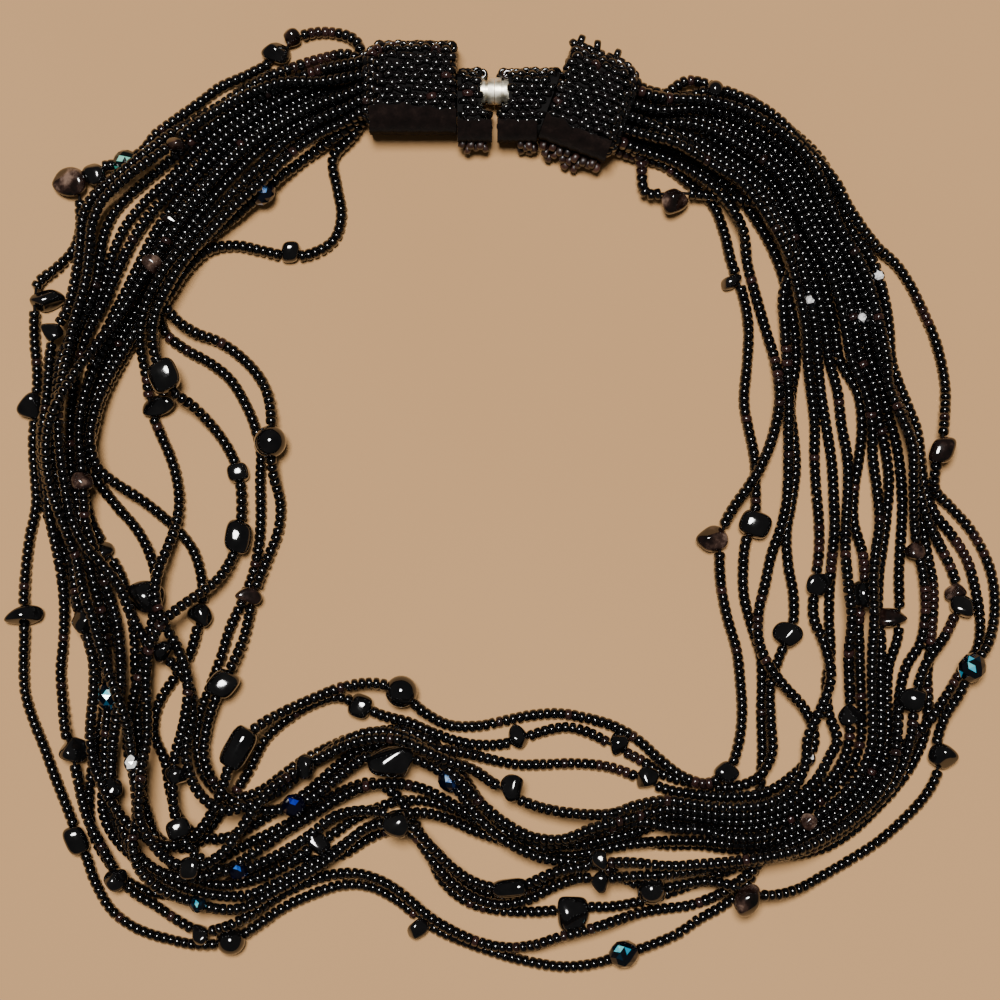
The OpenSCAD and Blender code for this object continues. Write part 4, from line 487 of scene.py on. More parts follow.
# Small accents inside the strands: strand, nearest plan point, form, size, shift to the side (mm), finish
SMALL_ACCENTS = [
    (0, (-15.2, -79.6), "chip", (3.5, 5.0, 3.6), -1.5, "black"),
    (0, (-38.5, 85.5), "chip", (3.2, 3.6, 3.0), -0.6, "smoky"),
    (0, (42, 40.1), "chip", (2.4, 4.2, 3.0), 1.2, "black"),
    (13, (-67.9, -48.5), "crystal", (3.0, 3.0, 3.0), 0.0, "clear"),
    (12, (-62, -27.5), "chip", (3.6, 4.4, 3.4), 0.6, "black"),
    (14, (-48.5, -67), "crystal", (3.2, 3.2, 3.2), 0.0, "blue"),
    (13, (18.5, -70.3), "chip", (3.4, 4.2, 3.2), -0.6, "black"),
    (1, (3.7, -71.8), "chip", (3.4, 4.2, 3.2), 0.0, "smoky"),
    (2, (22.5, -44.5), "chip", (3.6, 4.4, 3.2), 0.8, "black"),
    (1, (86, -22.2), "chip", (3.6, 6.0, 3.6), 1.6, "smoky"),
    (11, (40.7, -49), "block", (3.8, 4.2, 3.4), 0.0, "black"),
    (10, (39.6, 75.6), "round", (3.2, 3.4, 3.4), 0.0, "black"),
    (6, (44.4, 70), "block", (4.0, 3.4, 3.0), 0.0, "smoky"),
    (9, (57.4, -48), "crystal", (2.8, 2.8, 2.8), 0.0, "clear"),
    (1, (67.5, 33.7), "crystal", (2.2, 2.3, 2.3), 0.0, "clear"),
    (6, (69.9, 41.6), "crystal", (2.2, 2.3, 2.3), 0.0, "clear"),
    (12, (57.9, 36.6), "crystal", (2.2, 2.3, 2.3), 0.0, "clear"),
    (10, (-84.5, -8), "chip", (3.6, 5.0, 3.4), -0.8, "smoky"),
    (8, (-62, 52.7), "chip", (3.0, 3.6, 3.0), 0.0, "smoky"),
    (12, (-41, 45.5), "chip", (3.0, 3.6, 3.0), 0.6, "smoky"),
    (14, (65, -12), "chip", (3.4, 4.0, 3.2), 0.6, "smoky"),
    (13, (79, -18), "chip", (3.2, 4.2, 3.2), 0.6, "smoky"),
    (2, (-73.1, -9.3), "chip", (4.0, 4.4, 3.6), -0.8, "black"),
    (15, (-35.9, -49.1), "chip", (3.8, 4.4, 3.4), 0.0, "black"),
    (15, (-57.0, -67.5), "block", (3.8, 4.2, 3.4), 0.0, "black"),
    (3, (-33.7, -63.7), "chip", (3.6, 5.2, 3.4), 0.0, "black"),
    (14, (-18.5, -58.6), "chip", (5.0, 5.4, 4.0), -0.8, "black"),
    (6, (-70.5, -69.9), "chip", (4.2, 4.6, 3.6), -0.6, "black"),
    (14, (-59.2, -60.6), "block", (4.0, 4.6, 3.6), 0.0, "black"),
    (8, (-71.7, -53.1), "chip", (3.8, 4.0, 3.4), 0.0, "black"),
    (6, (-55.4, -80.0), "chip", (3.4, 3.8, 3.2), -0.6, "black"),
    (14, (-60.4, -50.7), "chip", (3.8, 4.6, 3.4), 0.8, "black"),
    (15, (58.5, -15.7), "chip", (4.4, 5.0, 3.8), -0.8, "black"),
    (2, (53.9, -25.2), "chip", (4.8, 5.6, 4.0), 0.6, "black"),
    (13, (77.1, -37.0), "chip", (5.0, 5.2, 4.0), 0.8, "black"),
    (2, (3.6, -44.7), "chip", (3.6, 4.6, 3.4), 0.8, "black"),
    (9, (27.1, -52.2), "chip", (4.0, 4.6, 3.6), 0.6, "black"),
    (8, (57.0, -59.3), "chip", (3.0, 3.2, 2.8), 0.0, "smoky"),
    (7, (65.0, -39.9), "chip", (4.0, 4.6, 3.6), 0.0, "black"),
    (0, (-75.7, 61.0), "chip", (4.2, 4.6, 3.6), 0.8, "black"),
    (13, (-64.5, 43.9), "chip", (3.4, 3.8, 3.2), 0.0, "smoky"),
    (8, (-76.9, 3.5), "chip", (3.4, 4.2, 3.2), 0.0, "smoky"),
    (6, (-82.4, 30.8), "chip", (3.6, 4.4, 3.4), -0.6, "black"),
    (15, (-48.7, 5.1), "block", (3.6, 4.0, 3.4), 0.0, "black"),
    (14, (18.2, -67.0), "chip", (3.6, 4.2, 3.4), 0.6, "black"),
    (14, (1.8, -71.8), "drum", (6.4, 3.6, 3.6), 0.0, "black"),
    (13, (-55.5, -74.0), "crystal", (3.0, 3.2, 3.2), 0.0, "teal"),
    (13, (85.2, -19.4), "block", (4.2, 4.8, 3.6), -0.6, "black"),
]

# Painted shadow: places where low-lying strand beads take a brown cast for the brown strips of shadow: plan
# point and reach (mm)
SHADOW_BROWN_PLACES = [
    ((79.0, -21.0), 5.5),
    ((86.6, -10.2), 4.0),
    ((58.3, -9.0), 4.5),
    ((64.8, -13.0), 4.0),
    ((65.7, -19.8), 3.5),
    ((76.5, 34.5), 4.0),
    ((50.0, 26.0), 3.5),
    ((22.0, -47.5), 4.5),
    ((37.6, -50.0), 3.0),
    ((23.5, 63.5), 4.0),
    ((-36.0, 85.0), 6.0),
]

# Tints of seed beads, from black ones to ones with a brown cast, which is partly random tone and partly
# painted shadow
BROWN_AND_SHADOW_CAST = (0.024, 0.01, 0.0085)
SEED_STOPS = [(0.0, (0.0012, 0.0012, 0.0015)), (0.8, (0.0025, 0.0022, 0.0022)), (1.0, BROWN_AND_SHADOW_CAST)]
WOVEN_STOPS = [(0.0, (0.002, 0.002, 0.002)), (0.7, (0.0055, 0.0042, 0.0042)), (1.0, BROWN_AND_SHADOW_CAST)]
# the brown of the beads along the lower edges is painted shadow
SHADOW_EDGE_STOPS = [(0.0, (0.01, 0.0045, 0.0035)), (0.6, (0.03, 0.011, 0.008)), (1.0, (0.064, 0.025, 0.018))]

# Clouded colours of the other surfaces
BLACK_STOPS = [(0.35, (0.0012, 0.0012, 0.0014)), (0.75, (0.005, 0.0045, 0.0045))]
# smoky stones: dark smoky clouds of their own colour, with pale tan patches painted as highlight
SMOKY_AND_HIGHLIGHT_STOPS = [(0.38, (0.0014, 0.001, 0.0008)), (0.5, (0.0085, 0.0038, 0.003)), (0.58, (0.036, 0.019, 0.014)),
               (0.68, (0.18, 0.115, 0.085))]
# the dark brown of the band on the lower side of caps and sleeves is painted shade
SHADE_BAND_STOPS = [(0.3, (0.002, 0.0012, 0.001)), (0.55, (0.0065, 0.0036, 0.003)), (0.8, (0.018, 0.0105, 0.008))]
THREAD_STOPS = [(0.3, (0.001, 0.0009, 0.0009)), (0.7, (0.004, 0.003, 0.0027))]
METAL_STOPS = [(0.3, (0.93, 0.84, 0.62)), (0.7, (1.0, 0.95, 0.82))]
FLOOR_STOPS = [(0.3, (0.464, 0.264, 0.118)), (0.7, (0.493, 0.286, 0.129))]

# Tints of the cut crystals, from a facet in the dark to a painted flash of light
CRYSTALS = {
    "teal": [(0.3, (0.001, 0.002, 0.004)), (0.5, (0.0, 0.05, 0.1)), (0.75, (0.005, 0.33, 0.52)),
             (1.0, (0.22, 0.8, 0.68))],
    "mint": [(0.3, (0.001, 0.004, 0.004)), (0.5, (0.005, 0.08, 0.07)), (0.75, (0.05, 0.4, 0.3)),
             (1.0, (0.25, 0.7, 0.55))],
    "blue": [(0.3, (0.001, 0.001, 0.005)), (0.5, (0.001, 0.012, 0.12)), (0.75, (0.01, 0.1, 0.5)),
             (1.0, (0.08, 0.35, 0.8))],
    "navy": [(0.3, (0.001, 0.001, 0.006)), (0.5, (0.001, 0.002, 0.06)), (0.75, (0.002, 0.006, 0.22)),
             (1.0, (0.01, 0.03, 0.38))],
    "sky": [(0.3, (0.001, 0.002, 0.006)), (0.5, (0.01, 0.05, 0.25)), (0.75, (0.12, 0.34, 0.78)),
            (1.0, (0.45, 0.68, 0.95))],
    "white": [(0.3, (0.001, 0.003, 0.006)), (0.5, (0.005, 0.2, 0.4)), (0.75, (0.12, 0.7, 0.85)),
              (1.0, (0.85, 1.0, 0.98))],
    "clear": [(0.25, (0.003, 0.003, 0.004)), (0.5, (0.08, 0.08, 0.09)), (0.75, (0.8, 0.78, 0.77)),
              (1.0, (1.0, 0.99, 0.98))],
}


# Camera

def make_camera():
    data = bpy.data.cameras.new("camera")
    data.sensor_width = SENSOR_MM
    data.lens = SENSOR_MM * CAMERA_HEIGHT / VIEW_WIDTH
    data.clip_start = 0.01
    data.clip_end = 10
    camera = bpy.data.objects.new("camera", data)
    camera.location = (0, 0, CAMERA_HEIGHT + MIDDLE_HEIGHT)
    bpy.context.scene.collection.objects.link(camera)
    bpy.context.scene.camera = camera


# Materials

class Finish:
    """One procedural material, put together from its nodes."""

    def __init__(self, name):
        self.material = bpy.data.materials.new(name)
        self.material.use_nodes = True
        self.nodes = self.material.node_tree.nodes
        self.links = self.material.node_tree.links
        self.shader = self.nodes["Principled BSDF"]

    def tint(self):
        """The tint that the mesh holds for each of its beads or facets."""
        tint = self.nodes.new("ShaderNodeAttribute")
        tint.attribute_name = "tint"
        return tint.outputs["Fac"]

    def noise(self, scale, detail=3.0, roughness=0.5):
        place = self.nodes.new("ShaderNodeTexCoord")
        noise = self.nodes.new("ShaderNodeTexNoise")
        noise.inputs["Scale"].default_value = scale
        noise.inputs["Detail"].default_value = detail
        noise.inputs["Roughness"].default_value = roughness
        self.links.new(place.outputs["Object"], noise.inputs["Vector"])
        return noise.outputs["Fac"]

    def colour(self, source, stops):
        ramp = self.nodes.new("ShaderNodeValToRGB")
        elements = ramp.color_ramp.elements
        while len(elements) < len(stops):
            elements.new(0.5)
        for element, (place, colour) in zip(elements, stops):
            element.position = place
            element.color = (*colour, 1.0)
        self.links.new(source, ramp.inputs["Fac"])
        self.links.new(ramp.outputs["Color"], self.shader.inputs["Base Color"])

    def rough(self, source, low, high):
        """Roughness from low to high over the middle of a noise."""
        span = self.nodes.new("ShaderNodeMapRange")
        span.inputs["From Min"].default_value = 0.35
        span.inputs["From Max"].default_value = 0.65
        span.inputs["To Min"].default_value = low
        span.inputs["To Max"].default_value = high
        self.links.new(source, span.inputs["Value"])
        self.links.new(span.outputs["Result"], self.shader.inputs["Roughness"])

    def bump(self, source, strength, distance):
        bump = self.nodes.new("ShaderNodeBump")
        bump.inputs["Strength"].default_value = strength
        bump.inputs["Distance"].default_value = distance
        self.links.new(source, bump.inputs["Height"])
        self.links.new(bump.outputs["Normal"], self.shader.inputs["Normal"])

    def constants(self, values):
        for socket, value in values.items():
            self.shader.inputs[socket].default_value = value


def seed_glass(name, stops, low, high):
    """Opaque glass of seed beads: each bead's own tint, and a slightly uneven gloss."""
    finish = Finish(name)
    finish.colour(finish.tint(), stops)
    finish.rough(finish.noise(scale=900), low, high)
    finish.bump(finish.noise(scale=2200), strength=0.06, distance=0.0001)
    finish.constants({"IOR": 1.62})
    return finish.material


def stone_glass(name, stops, scale, low, high, pits):
    """Larger glass or stone beads: clouded colour, with pale patches painted as highlight in the smoky ones,
    polished, with faint pits.
    """
    finish = Finish(name)
    cloud = finish.noise(scale=scale, detail=5.0, roughness=0.6)
    finish.colour(cloud, stops)
    finish.rough(cloud, low, high)
    finish.bump(finish.noise(scale=scale * 3), strength=pits, distance=0.0002)
    finish.constants({"IOR": 1.6, "Coat Weight": 0.3, "Coat Roughness": 0.04})
    return finish.material


def crystal_glass(name, stops):
    """Cut crystal with an iridescent coating: every facet has its own tint, from dark to bright, and the
    bright ones are painted flashes of light.
    """
    finish = Finish(name)
    finish.colour(finish.tint(), stops)
    finish.rough(finish.noise(scale=1500), 0.04, 0.12)
    finish.constants({"Metallic": 0.1, "IOR": 1.6, "Coat Weight": 0.25, "Coat Roughness": 0.03})
    return finish.material


def painted_shade_felt():
    """Painted shade: soft dark brown sheet wrapped round the shaded lower side of the beadwork."""
    finish = Finish("painted_shade_felt")
    finish.colour(finish.noise(scale=500, detail=8.0, roughness=0.7), SHADE_BAND_STOPS)
    finish.bump(finish.noise(scale=2600, detail=4.0), strength=0.6, distance=0.0002)
    finish.constants({"Roughness": 0.95, "Specular IOR Level": 0.08, "Sheen Weight": 0.03})
    return finish.material


def thread_fibre():
    finish = Finish("thread")
    fibres = finish.noise(scale=4000)
    finish.colour(fibres, THREAD_STOPS)
    finish.bump(fibres, strength=0.4, distance=0.0001)
    finish.constants({"Roughness": 0.8, "Specular IOR Level": 0.15})
    return finish.material


def clasp_metal():
    """Pale gold plating, a little dulled by wear."""
    finish = Finish("clasp_metal")
    wear = finish.noise(scale=700, detail=6.0)
    finish.colour(wear, METAL_STOPS)
    finish.rough(wear, 0.36, 0.6)
    finish.bump(finish.noise(scale=2500), strength=0.1, distance=0.0001)
    finish.constants({"Metallic": 1.0})
    return finish.material


def floor_cloth():
    finish = Finish("floor")
    finish.colour(finish.noise(scale=6, detail=4.0), FLOOR_STOPS)
    finish.constants({"Roughness": 0.85, "Specular IOR Level": 0.1})
    return finish.material


make_camera()
FINISHES = {
    "seed": seed_glass("seed_black", SEED_STOPS, 0.02, 0.16),
    "woven": seed_glass("woven_black", WOVEN_STOPS, 0.03, 0.2),
    # brown beads that paint the lumpy shadow edge under caps and sleeves
    "brown": seed_glass("shadow_edge_brown", SHADOW_EDGE_STOPS, 0.3, 0.5),
    "black": stone_glass("stone_black", BLACK_STOPS, 260, 0.04, 0.13, pits=0.1),
    # smoky stones, with pale patches of painted highlight
    "smoky": stone_glass("stone_smoky", SMOKY_AND_HIGHLIGHT_STOPS, 210, 0.05, 0.18, pits=0.12),
    # dark band that paints the shade on the lower side of caps and sleeves
    "painted_shade_felt": painted_shade_felt(),
    "thread": thread_fibre(),
    "metal": clasp_metal(),
}
for tone, stops in CRYSTALS.items():
    FINISHES[tone] = crystal_glass("crystal_" + tone, stops)


# Building meshes from parts

class Builder:
    """Gathers parts with their finishes and tints, and makes one mesh of them."""

    def __init__(self):
        self.verts = []
        self.faces = []
        self.finishes = []
        self.face_finish = []
        self.smooth = []
        self.tints = []
        self.count = 0

    def gather(self, verts, faces, finish, tints, smooth):
        if finish not in self.finishes:
            self.finishes.append(finish)
        self.verts.append(verts)
        self.faces.extend(faces)
        self.face_finish.extend([self.finishes.index(finish)] * len(faces))
        self.smooth.extend([smooth] * len(faces))
        self.tints.append(tints)
        self.count += len(verts)

    def add(self, verts, faces, finish, tint=0.0, smooth=True):
        """One part, with one tint."""
        shifted = [tuple(self.count + i for i in face) for face in faces]
        self.gather(verts, shifted, finish, np.full(len(verts), tint), smooth)

    def add_copies(self, unit, centres, axes, scales, finish, tints):
        """Copies of a unit shape: each has a centre, three axes, a scale along each axis, and a tint."""
        verts, faces = unit
        spread = np.einsum("vk,nk,nkd->nvd", verts, scales, axes) + centres[:, None, :]
        starts = np.arange(len(centres)) * len(verts) + self.count
        shifted = (starts[:, None, None] + faces[None]).reshape(-1, faces.shape[1])
        self.gather(spread.reshape(-1, 3), shifted.tolist(), finish, np.repeat(tints, len(verts)), True)

    def make(self, name, replaced):
        mesh = bpy.data.meshes.new(name)
        mesh.from_pydata(np.vstack(self.verts).tolist(), [], self.faces)
        for finish in self.finishes:
            mesh.materials.append(FINISHES[finish])
        mesh.polygons.foreach_set("material_index", self.face_finish)
        mesh.polygons.foreach_set("use_smooth", self.smooth)
        tint = mesh.attributes.new("tint", "FLOAT", "POINT")
        tint.data.foreach_set("value", np.concatenate(self.tints))
        mesh.update()
        piece = bpy.data.objects.new(name, mesh)
        bpy.context.scene.collection.objects.link(piece)
        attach(piece, "root")
        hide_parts(replaced)


def tube_faces(rings, sides):
    """Faces between rings of points that follow one another."""
    faces = []
    for i in range(rings - 1):
        here, above = i * sides, (i + 1) * sides
        for k in range(sides):
            beside = (k + 1) % sides
            faces.append((here + k, here + beside, above + beside, above + k))
    return faces


def end_faces(rings, sides):
    """The two flat ends of a tube."""
    return [tuple(reversed(range(sides))), tuple((rings - 1) * sides + k for k in range(sides))]


def lathe(profile, sides):
    """Turned shape around x, open at its ends: the profile gives x and radius."""
    turn = np.arange(sides) * 2 * math.pi / sides
    verts = np.array([(x, r * math.cos(a), r * math.sin(a)) for x, r in profile for a in turn])
    return verts, tube_faces(len(profile), sides)


def unit_seed():
    verts, faces = lathe(SEED_PROFILE, SEED_SIDES)
    return verts, np.array(faces)


SEED = unit_seed()


# Forms of the larger beads, with the thread along x

def from_bmesh(shape):
    shape.verts.ensure_lookup_table()
    verts = np.array([v.co[:] for v in shape.verts])
    faces = [tuple(v.index for v in f.verts) for f in shape.faces]
    shape.free()
    return verts, faces


def chip_form(rng):
    """Tumbled nugget: a ball cut by random planes, with every edge between them worn round."""
    shape = bmesh.new()
    bmesh.ops.create_icosphere(shape, subdivisions=4, radius=1.0)
    ways, faces = from_bmesh(shape)
    planes = rng.normal(size=(CHIP_PLANES, 3))
    planes /= np.linalg.norm(planes, axis=1)[:, None]
    heights = rng.uniform(*CHIP_HEIGHTS, size=CHIP_PLANES)
    share = np.maximum(ways @ planes.T, 0) / heights
    reach = ((share ** CHIP_WEAR).sum(axis=1) + CHIP_BALL ** CHIP_WEAR) ** (-1 / CHIP_WEAR)
    return ways * reach[:, None], faces


def block_form(rng):
    """Squared bead with rounded edges and crowned faces, each block a little askew."""
    shape = bmesh.new()
    bmesh.ops.create_cube(shape, size=1.0)
    bmesh.ops.subdivide_edges(shape, edges=shape.edges[:], cuts=BLOCK_CUTS, use_grid_fill=True)
    grid, faces = from_bmesh(shape)
    grid = np.tan(grid * 2 * BLOCK_BOW) / math.tan(BLOCK_BOW)
    lean = np.eye(3) + rng.normal(scale=BLOCK_LEAN, size=(3, 3))
    reach = (np.abs(grid) ** BLOCK_CROWN).sum(axis=1) ** (1 / BLOCK_CROWN)
    return (grid / reach[:, None]) @ lean, faces


def closed_lathe(profile):
    verts, faces = lathe(profile, ROUND_SIDES)
    return verts, faces + end_faces(len(profile), ROUND_SIDES)


def round_form():
    """Smooth round bead, flattened a little at its holes."""
    steps = np.linspace(ROUND_HOLE, math.pi - ROUND_HOLE, ROUND_RINGS)
    return closed_lathe([(-math.cos(a), math.sin(a)) for a in steps])


def crystal_form():
    """Cut round bead: belts of facets between two small flat ends."""
    step = 2 * math.pi / CRYSTAL_SIDES
    verts = [(x, r * math.cos(step * (k + half)), r * math.sin(step * (k + half)))
             for x, r, half in CRYSTAL_BELTS for k in range(CRYSTAL_SIDES)]
    faces = []
    for i, belt in enumerate(CRYSTAL_BELTS[:-1]):
        lead = 1 if belt[2] else 0
        here, above = i * CRYSTAL_SIDES, (i + 1) * CRYSTAL_SIDES
        for k in range(CRYSTAL_SIDES):
            a, b = here + k, here + (k + 1) % CRYSTAL_SIDES
            c, d = above + (k + lead) % CRYSTAL_SIDES, above + (k + lead - 1) % CRYSTAL_SIDES
            faces += [(a, b, c), (a, c, d)]
    return np.array(verts), faces + end_faces(len(CRYSTAL_BELTS), CRYSTAL_SIDES)


FORMS = {
    "chip": chip_form,
    "block": block_form,
    "round": lambda rng: round_form(),
    "drum": lambda rng: closed_lathe(DRUM_PROFILE),
    "crystal": lambda rng: crystal_form(),
}


def add_crystal(builder, verts, faces, finish, rng):
    """Every facet apart, with its own tint: dark, but for flashes of light painted on the upper side and a
    few elsewhere.
    """
    way = FLASH_WAY + rng.uniform(-FLASH_TURN, FLASH_TURN, 3)
    way /= np.linalg.norm(way)
    reach = CLEAR_FLASH if finish == "clear" else DARK_FLASH
    for face in faces:
        corners = verts[list(face)]
        normal = np.cross(corners[1] - corners[0], corners[2] - corners[0])
        normal /= np.linalg.norm(normal)
        # painted highlight: facets facing near the lamp get a bright flash tint, and a few others at random
        flash = normal @ way > reach or rng.uniform() < STRAY_FLASH
        tint = rng.uniform(*FLASH_TINTS) if flash else rng.uniform(*FACET_TINTS)
        builder.add(corners, [tuple(range(len(face)))], finish, tint, smooth=False)


def add_form(builder, form, size, centre, axes, finish, seed):
    """Adds one larger bead of the given size, lifted where a slanting one would sink into the floor."""
    verts, faces = FORMS[form](np.random.default_rng(seed))
    low, high = verts.min(axis=0), verts.max(axis=0)
    verts = (verts - (low + high) / 2) / (high - low) * np.array(size)
    verts = verts @ axes + centre
    verts[:, 2] += max(0.0, -verts[:, 2].min())
    if form == "crystal":
        add_crystal(builder, verts, faces, finish, np.random.default_rng(seed))
    else:
        builder.add(verts, faces, finish, FORM_TINT)


# Courses of the strands

def heading(angle):
    return np.array([math.cos(angle), math.sin(angle)])


def mouth_point(mouth, turn, across, out):
    return mouth + out * heading(turn) + across * heading(turn + math.pi / 2)


def full_route(row, left, right, points):
    """A strand's route in plan, with its two ends inside the mouths of the caps."""
    middle = (ROW_COLUMNS[row] - 1) / 2
    left_across = -(middle - left) * LEFT_PITCH
    right_across = (middle - right) * RIGHT_PITCH
    start = [mouth_point(LEFT_MOUTH, LEFT_TURN, left_across, out) for out in (-MOUTH_DEPTH, MOUTH_LIP)]
    end = [mouth_point(RIGHT_MOUTH, RIGHT_TURN, right_across, out) for out in (MOUTH_LIP, -MOUTH_DEPTH)]
    return np.vstack([start, np.array(points) * MM, end])


def mixed(t, low, high, a, b):
    """From a at low to b at high, for each t."""
    return (high - t) / (high - low) * a + (t - low) / (high - low) * b


def curve_between(a, b, c, d):
    """Points from b to c on the smooth curve that passes through all four."""
    ta, tb, tc, td = np.cumsum([0.0] + [math.sqrt(np.linalg.norm(v)) for v in (b - a, c - b, d - c)])
    t = np.linspace(tb, tc, CURVE_POINTS, endpoint=False)[:, None]
    ab, bc, cd = mixed(t, ta, tb, a, b), mixed(t, tb, tc, b, c), mixed(t, tc, td, c, d)
    return mixed(t, tb, tc, mixed(t, ta, tc, ab, bc), mixed(t, tb, td, bc, cd))


def even_course(points):
    """A smooth curve through the points, then places on it a step apart, and how far along each is."""
    p = np.vstack([2 * points[0] - points[1], points, 2 * points[-1] - points[-2]])
    dense = np.vstack([curve_between(*four) for four in zip(p, p[1:], p[2:], p[3:])] + [points[-1:]])
    run = np.concatenate([[0], np.cumsum(np.linalg.norm(np.diff(dense, axis=0), axis=1))])
    even = np.linspace(0, run[-1], int(run[-1] / COURSE_STEP) + 1)
    return np.column_stack([np.interp(even, run, dense[:, 0]), np.interp(even, run, dense[:, 1])]), even


def node_tree(name):
    mesh = NODES[name].data
    return BVHTree.FromPolygons([v.co[:] for v in mesh.vertices], [p.vertices[:] for p in mesh.polygons])


def height_of(tree, x, y):
    """Height of the middle of a strand's solid above one point of the plan, or nothing beside it."""
    top = tree.ray_cast(Vector((x, y, ABOVE_ALL)), Vector((0, 0, -1)))[0]
    under = tree.ray_cast(Vector((x, y, -ABOVE_ALL)), Vector((0, 0, 1)))[0]
    return (top.z + under.z) / 2 if top and under else math.nan


class Course:
    """The line that the middle of a strand follows: the route in plan, at the height of its solid."""

    def __init__(self, number):
        self.plan, self.run = even_course(full_route(*STRANDS[number]))
        tree = node_tree(strand_name(number))
        raw = np.array([height_of(tree, x, y) for x, y in self.plan])
        known = ~np.isnan(raw)
        raw = np.interp(self.run, self.run[known], raw[known])
        reach = int(3 * HEIGHT_SOFTENING / COURSE_STEP)
        kernel = np.exp(-0.5 * (np.arange(-reach, reach + 1) * COURSE_STEP / HEIGHT_SOFTENING) ** 2)
        soft = np.convolve(np.pad(raw, reach, mode="edge"), kernel / kernel.sum(), mode="valid")
        self.height = np.maximum(np.maximum(soft, raw - HEIGHT_EASE), SEED_TOP_R)

    def at(self, s):
        s = np.asarray(s, dtype=float)
        lines = (self.plan[:, 0], self.plan[:, 1], self.height)
        return np.stack([np.interp(s, self.run, line) for line in lines], axis=-1)

    def along(self, s):
        way = self.at(np.asarray(s) + HALF_SPAN) - self.at(np.asarray(s) - HALF_SPAN)
        return way / np.linalg.norm(way, axis=-1)[..., None]

    def nearest(self, place):
        return self.run[np.argmin(np.linalg.norm(self.plan - np.asarray(place)[:2], axis=1))]


def strand_name(number):
    return "strand_%02d" % (number + 1)


def axes_along(way):
    """Three axes for each direction: along it, level across it, and the third square to both."""
    side = np.cross(UP, way)
    side /= np.linalg.norm(side, axis=-1)[..., None]
    return np.stack([way, side, np.cross(way, side)], axis=-2)


def tilted(axes, rng, amount):
    """The same axes, each set turned a little at random."""
    a = rng.normal(scale=amount, size=(len(axes), 3))
    turn = np.zeros((len(axes), 3, 3))
    turn[:] = np.eye(3)
    turn[:, 0, 1], turn[:, 0, 2], turn[:, 1, 2] = a[:, 2], -a[:, 1], a[:, 0]
    turn[:, 1, 0], turn[:, 2, 0], turn[:, 2, 1] = -a[:, 2], a[:, 1], -a[:, 0]
    loose = np.einsum("nij,njk->nik", turn, axes)
    return loose / np.linalg.norm(loose, axis=-1)[..., None]


def rolled(axes, rng):
    """The same axes, each set rolled at random about its first one."""
    a = rng.uniform(0, 2 * math.pi, size=len(axes))
    c, s = np.cos(a)[:, None], np.sin(a)[:, None]
    return np.stack([axes[:, 0], c * axes[:, 1] + s * axes[:, 2], c * axes[:, 2] - s * axes[:, 1]], axis=1)


# Strands

def bead_tints(rng, centres):
    """Most seed beads are plain black; a few at random have a brown cast, and most low-lying ones in the
    shadow places take it as painted shadow.
    """
    share = np.full(len(centres), FEW_BROWN)
    # painted shadow: low-lying beads near the shadow places turn brown
    for place, reach in SHADOW_BROWN_PLACES:
        away = np.linalg.norm(centres[:, :2] - np.array(place) * MM, axis=1)
        near = (away < reach * MM) & (centres[:, 2] < SHADOW_BROWN_BELOW)
        share = np.maximum(share, np.where(near, SHADOW_BROWN_SHARE, 0))
    brown = rng.uniform(size=len(centres)) < share
    brown_and_shadow_tints = rng.uniform(*BROWN_AND_SHADOW_TINTS, size=len(centres))
    return np.where(brown, brown_and_shadow_tints, rng.uniform(*BLACK_TINTS, size=len(centres)))


def add_seeds(builder, centres, axes, rng, finish="seed", loose=STRUNG_LOOSE):
    """Seed beads at the centres, each of its own size and turned a little, and none in the floor."""
    centres = np.array(centres)
    centres[:, 2] = np.maximum(centres[:, 2], SEED_TOP_R)
    scales = np.column_stack([
        SEED_LENGTH * rng.uniform(*LENGTH_SPREAD, size=len(centres)),
        SEED_R * rng.uniform(*SEED_SPREAD, size=len(centres)),
        SEED_R * rng.uniform(*SEED_SPREAD, size=len(centres)),
    ])
    axes = rolled(tilted(axes, rng, loose), rng)
    builder.add_copies(SEED, centres, axes, scales, finish, bead_tints(rng, centres))


def add_thread(builder, points):
    way = np.gradient(points, axis=0)
    way /= np.linalg.norm(way, axis=1)[:, None]
    axes = axes_along(way)
    turn = np.arange(THREAD_SIDES) * 2 * math.pi / THREAD_SIDES
    ring = np.cos(turn)[None, :, None] * axes[:, None, 1] + np.sin(turn)[None, :, None] * axes[:, None, 2]
    verts = (points[:, None, :] + THREAD_R * ring).reshape(-1, 3)
    builder.add(verts, tube_faces(len(points), THREAD_SIDES), "thread")


def make_larger_bead(name, course):
    """A bead in its node's place, level and in line with its strand.

    Gives its place on the strand and half its length, as add_accent does.
    """
    form, size, finish = ACCENTS[name][1:]
    low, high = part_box(name)
    middle = (np.array(low) + np.array(high)) / 2
    place = course.nearest(middle)
    level = course.along(place) * np.array([1, 1, 0])
    axes = axes_along(level / np.linalg.norm(level))
    bead = Builder()
    seed = len(name) + int(name[-2:])
    add_form(bead, form, np.array(size) * MM, middle, axes, finish, seed)
    bead.make(name + "_dressed", name)
    return place, size[0] * MM / 2


def add_accent(builder, k, course):
    """A small bead inside a strand, or beside it by its shift."""
    near, form, size, shift, finish = SMALL_ACCENTS[k][1:]
    length, width, height = np.array(size) * MM
    place = course.nearest(np.array(near) * MM)
    axes = axes_along(course.along(place))
    centre = course.at(place) + shift * MM * axes[1]
    centre[2] = max(centre[2] + ACCENT_RISE * (height / 2 - SEED_R), height / 2)
    add_form(builder, form, (length, width, height), centre, axes, finish, ACCENT_SEED + k)
    return place, length / 2


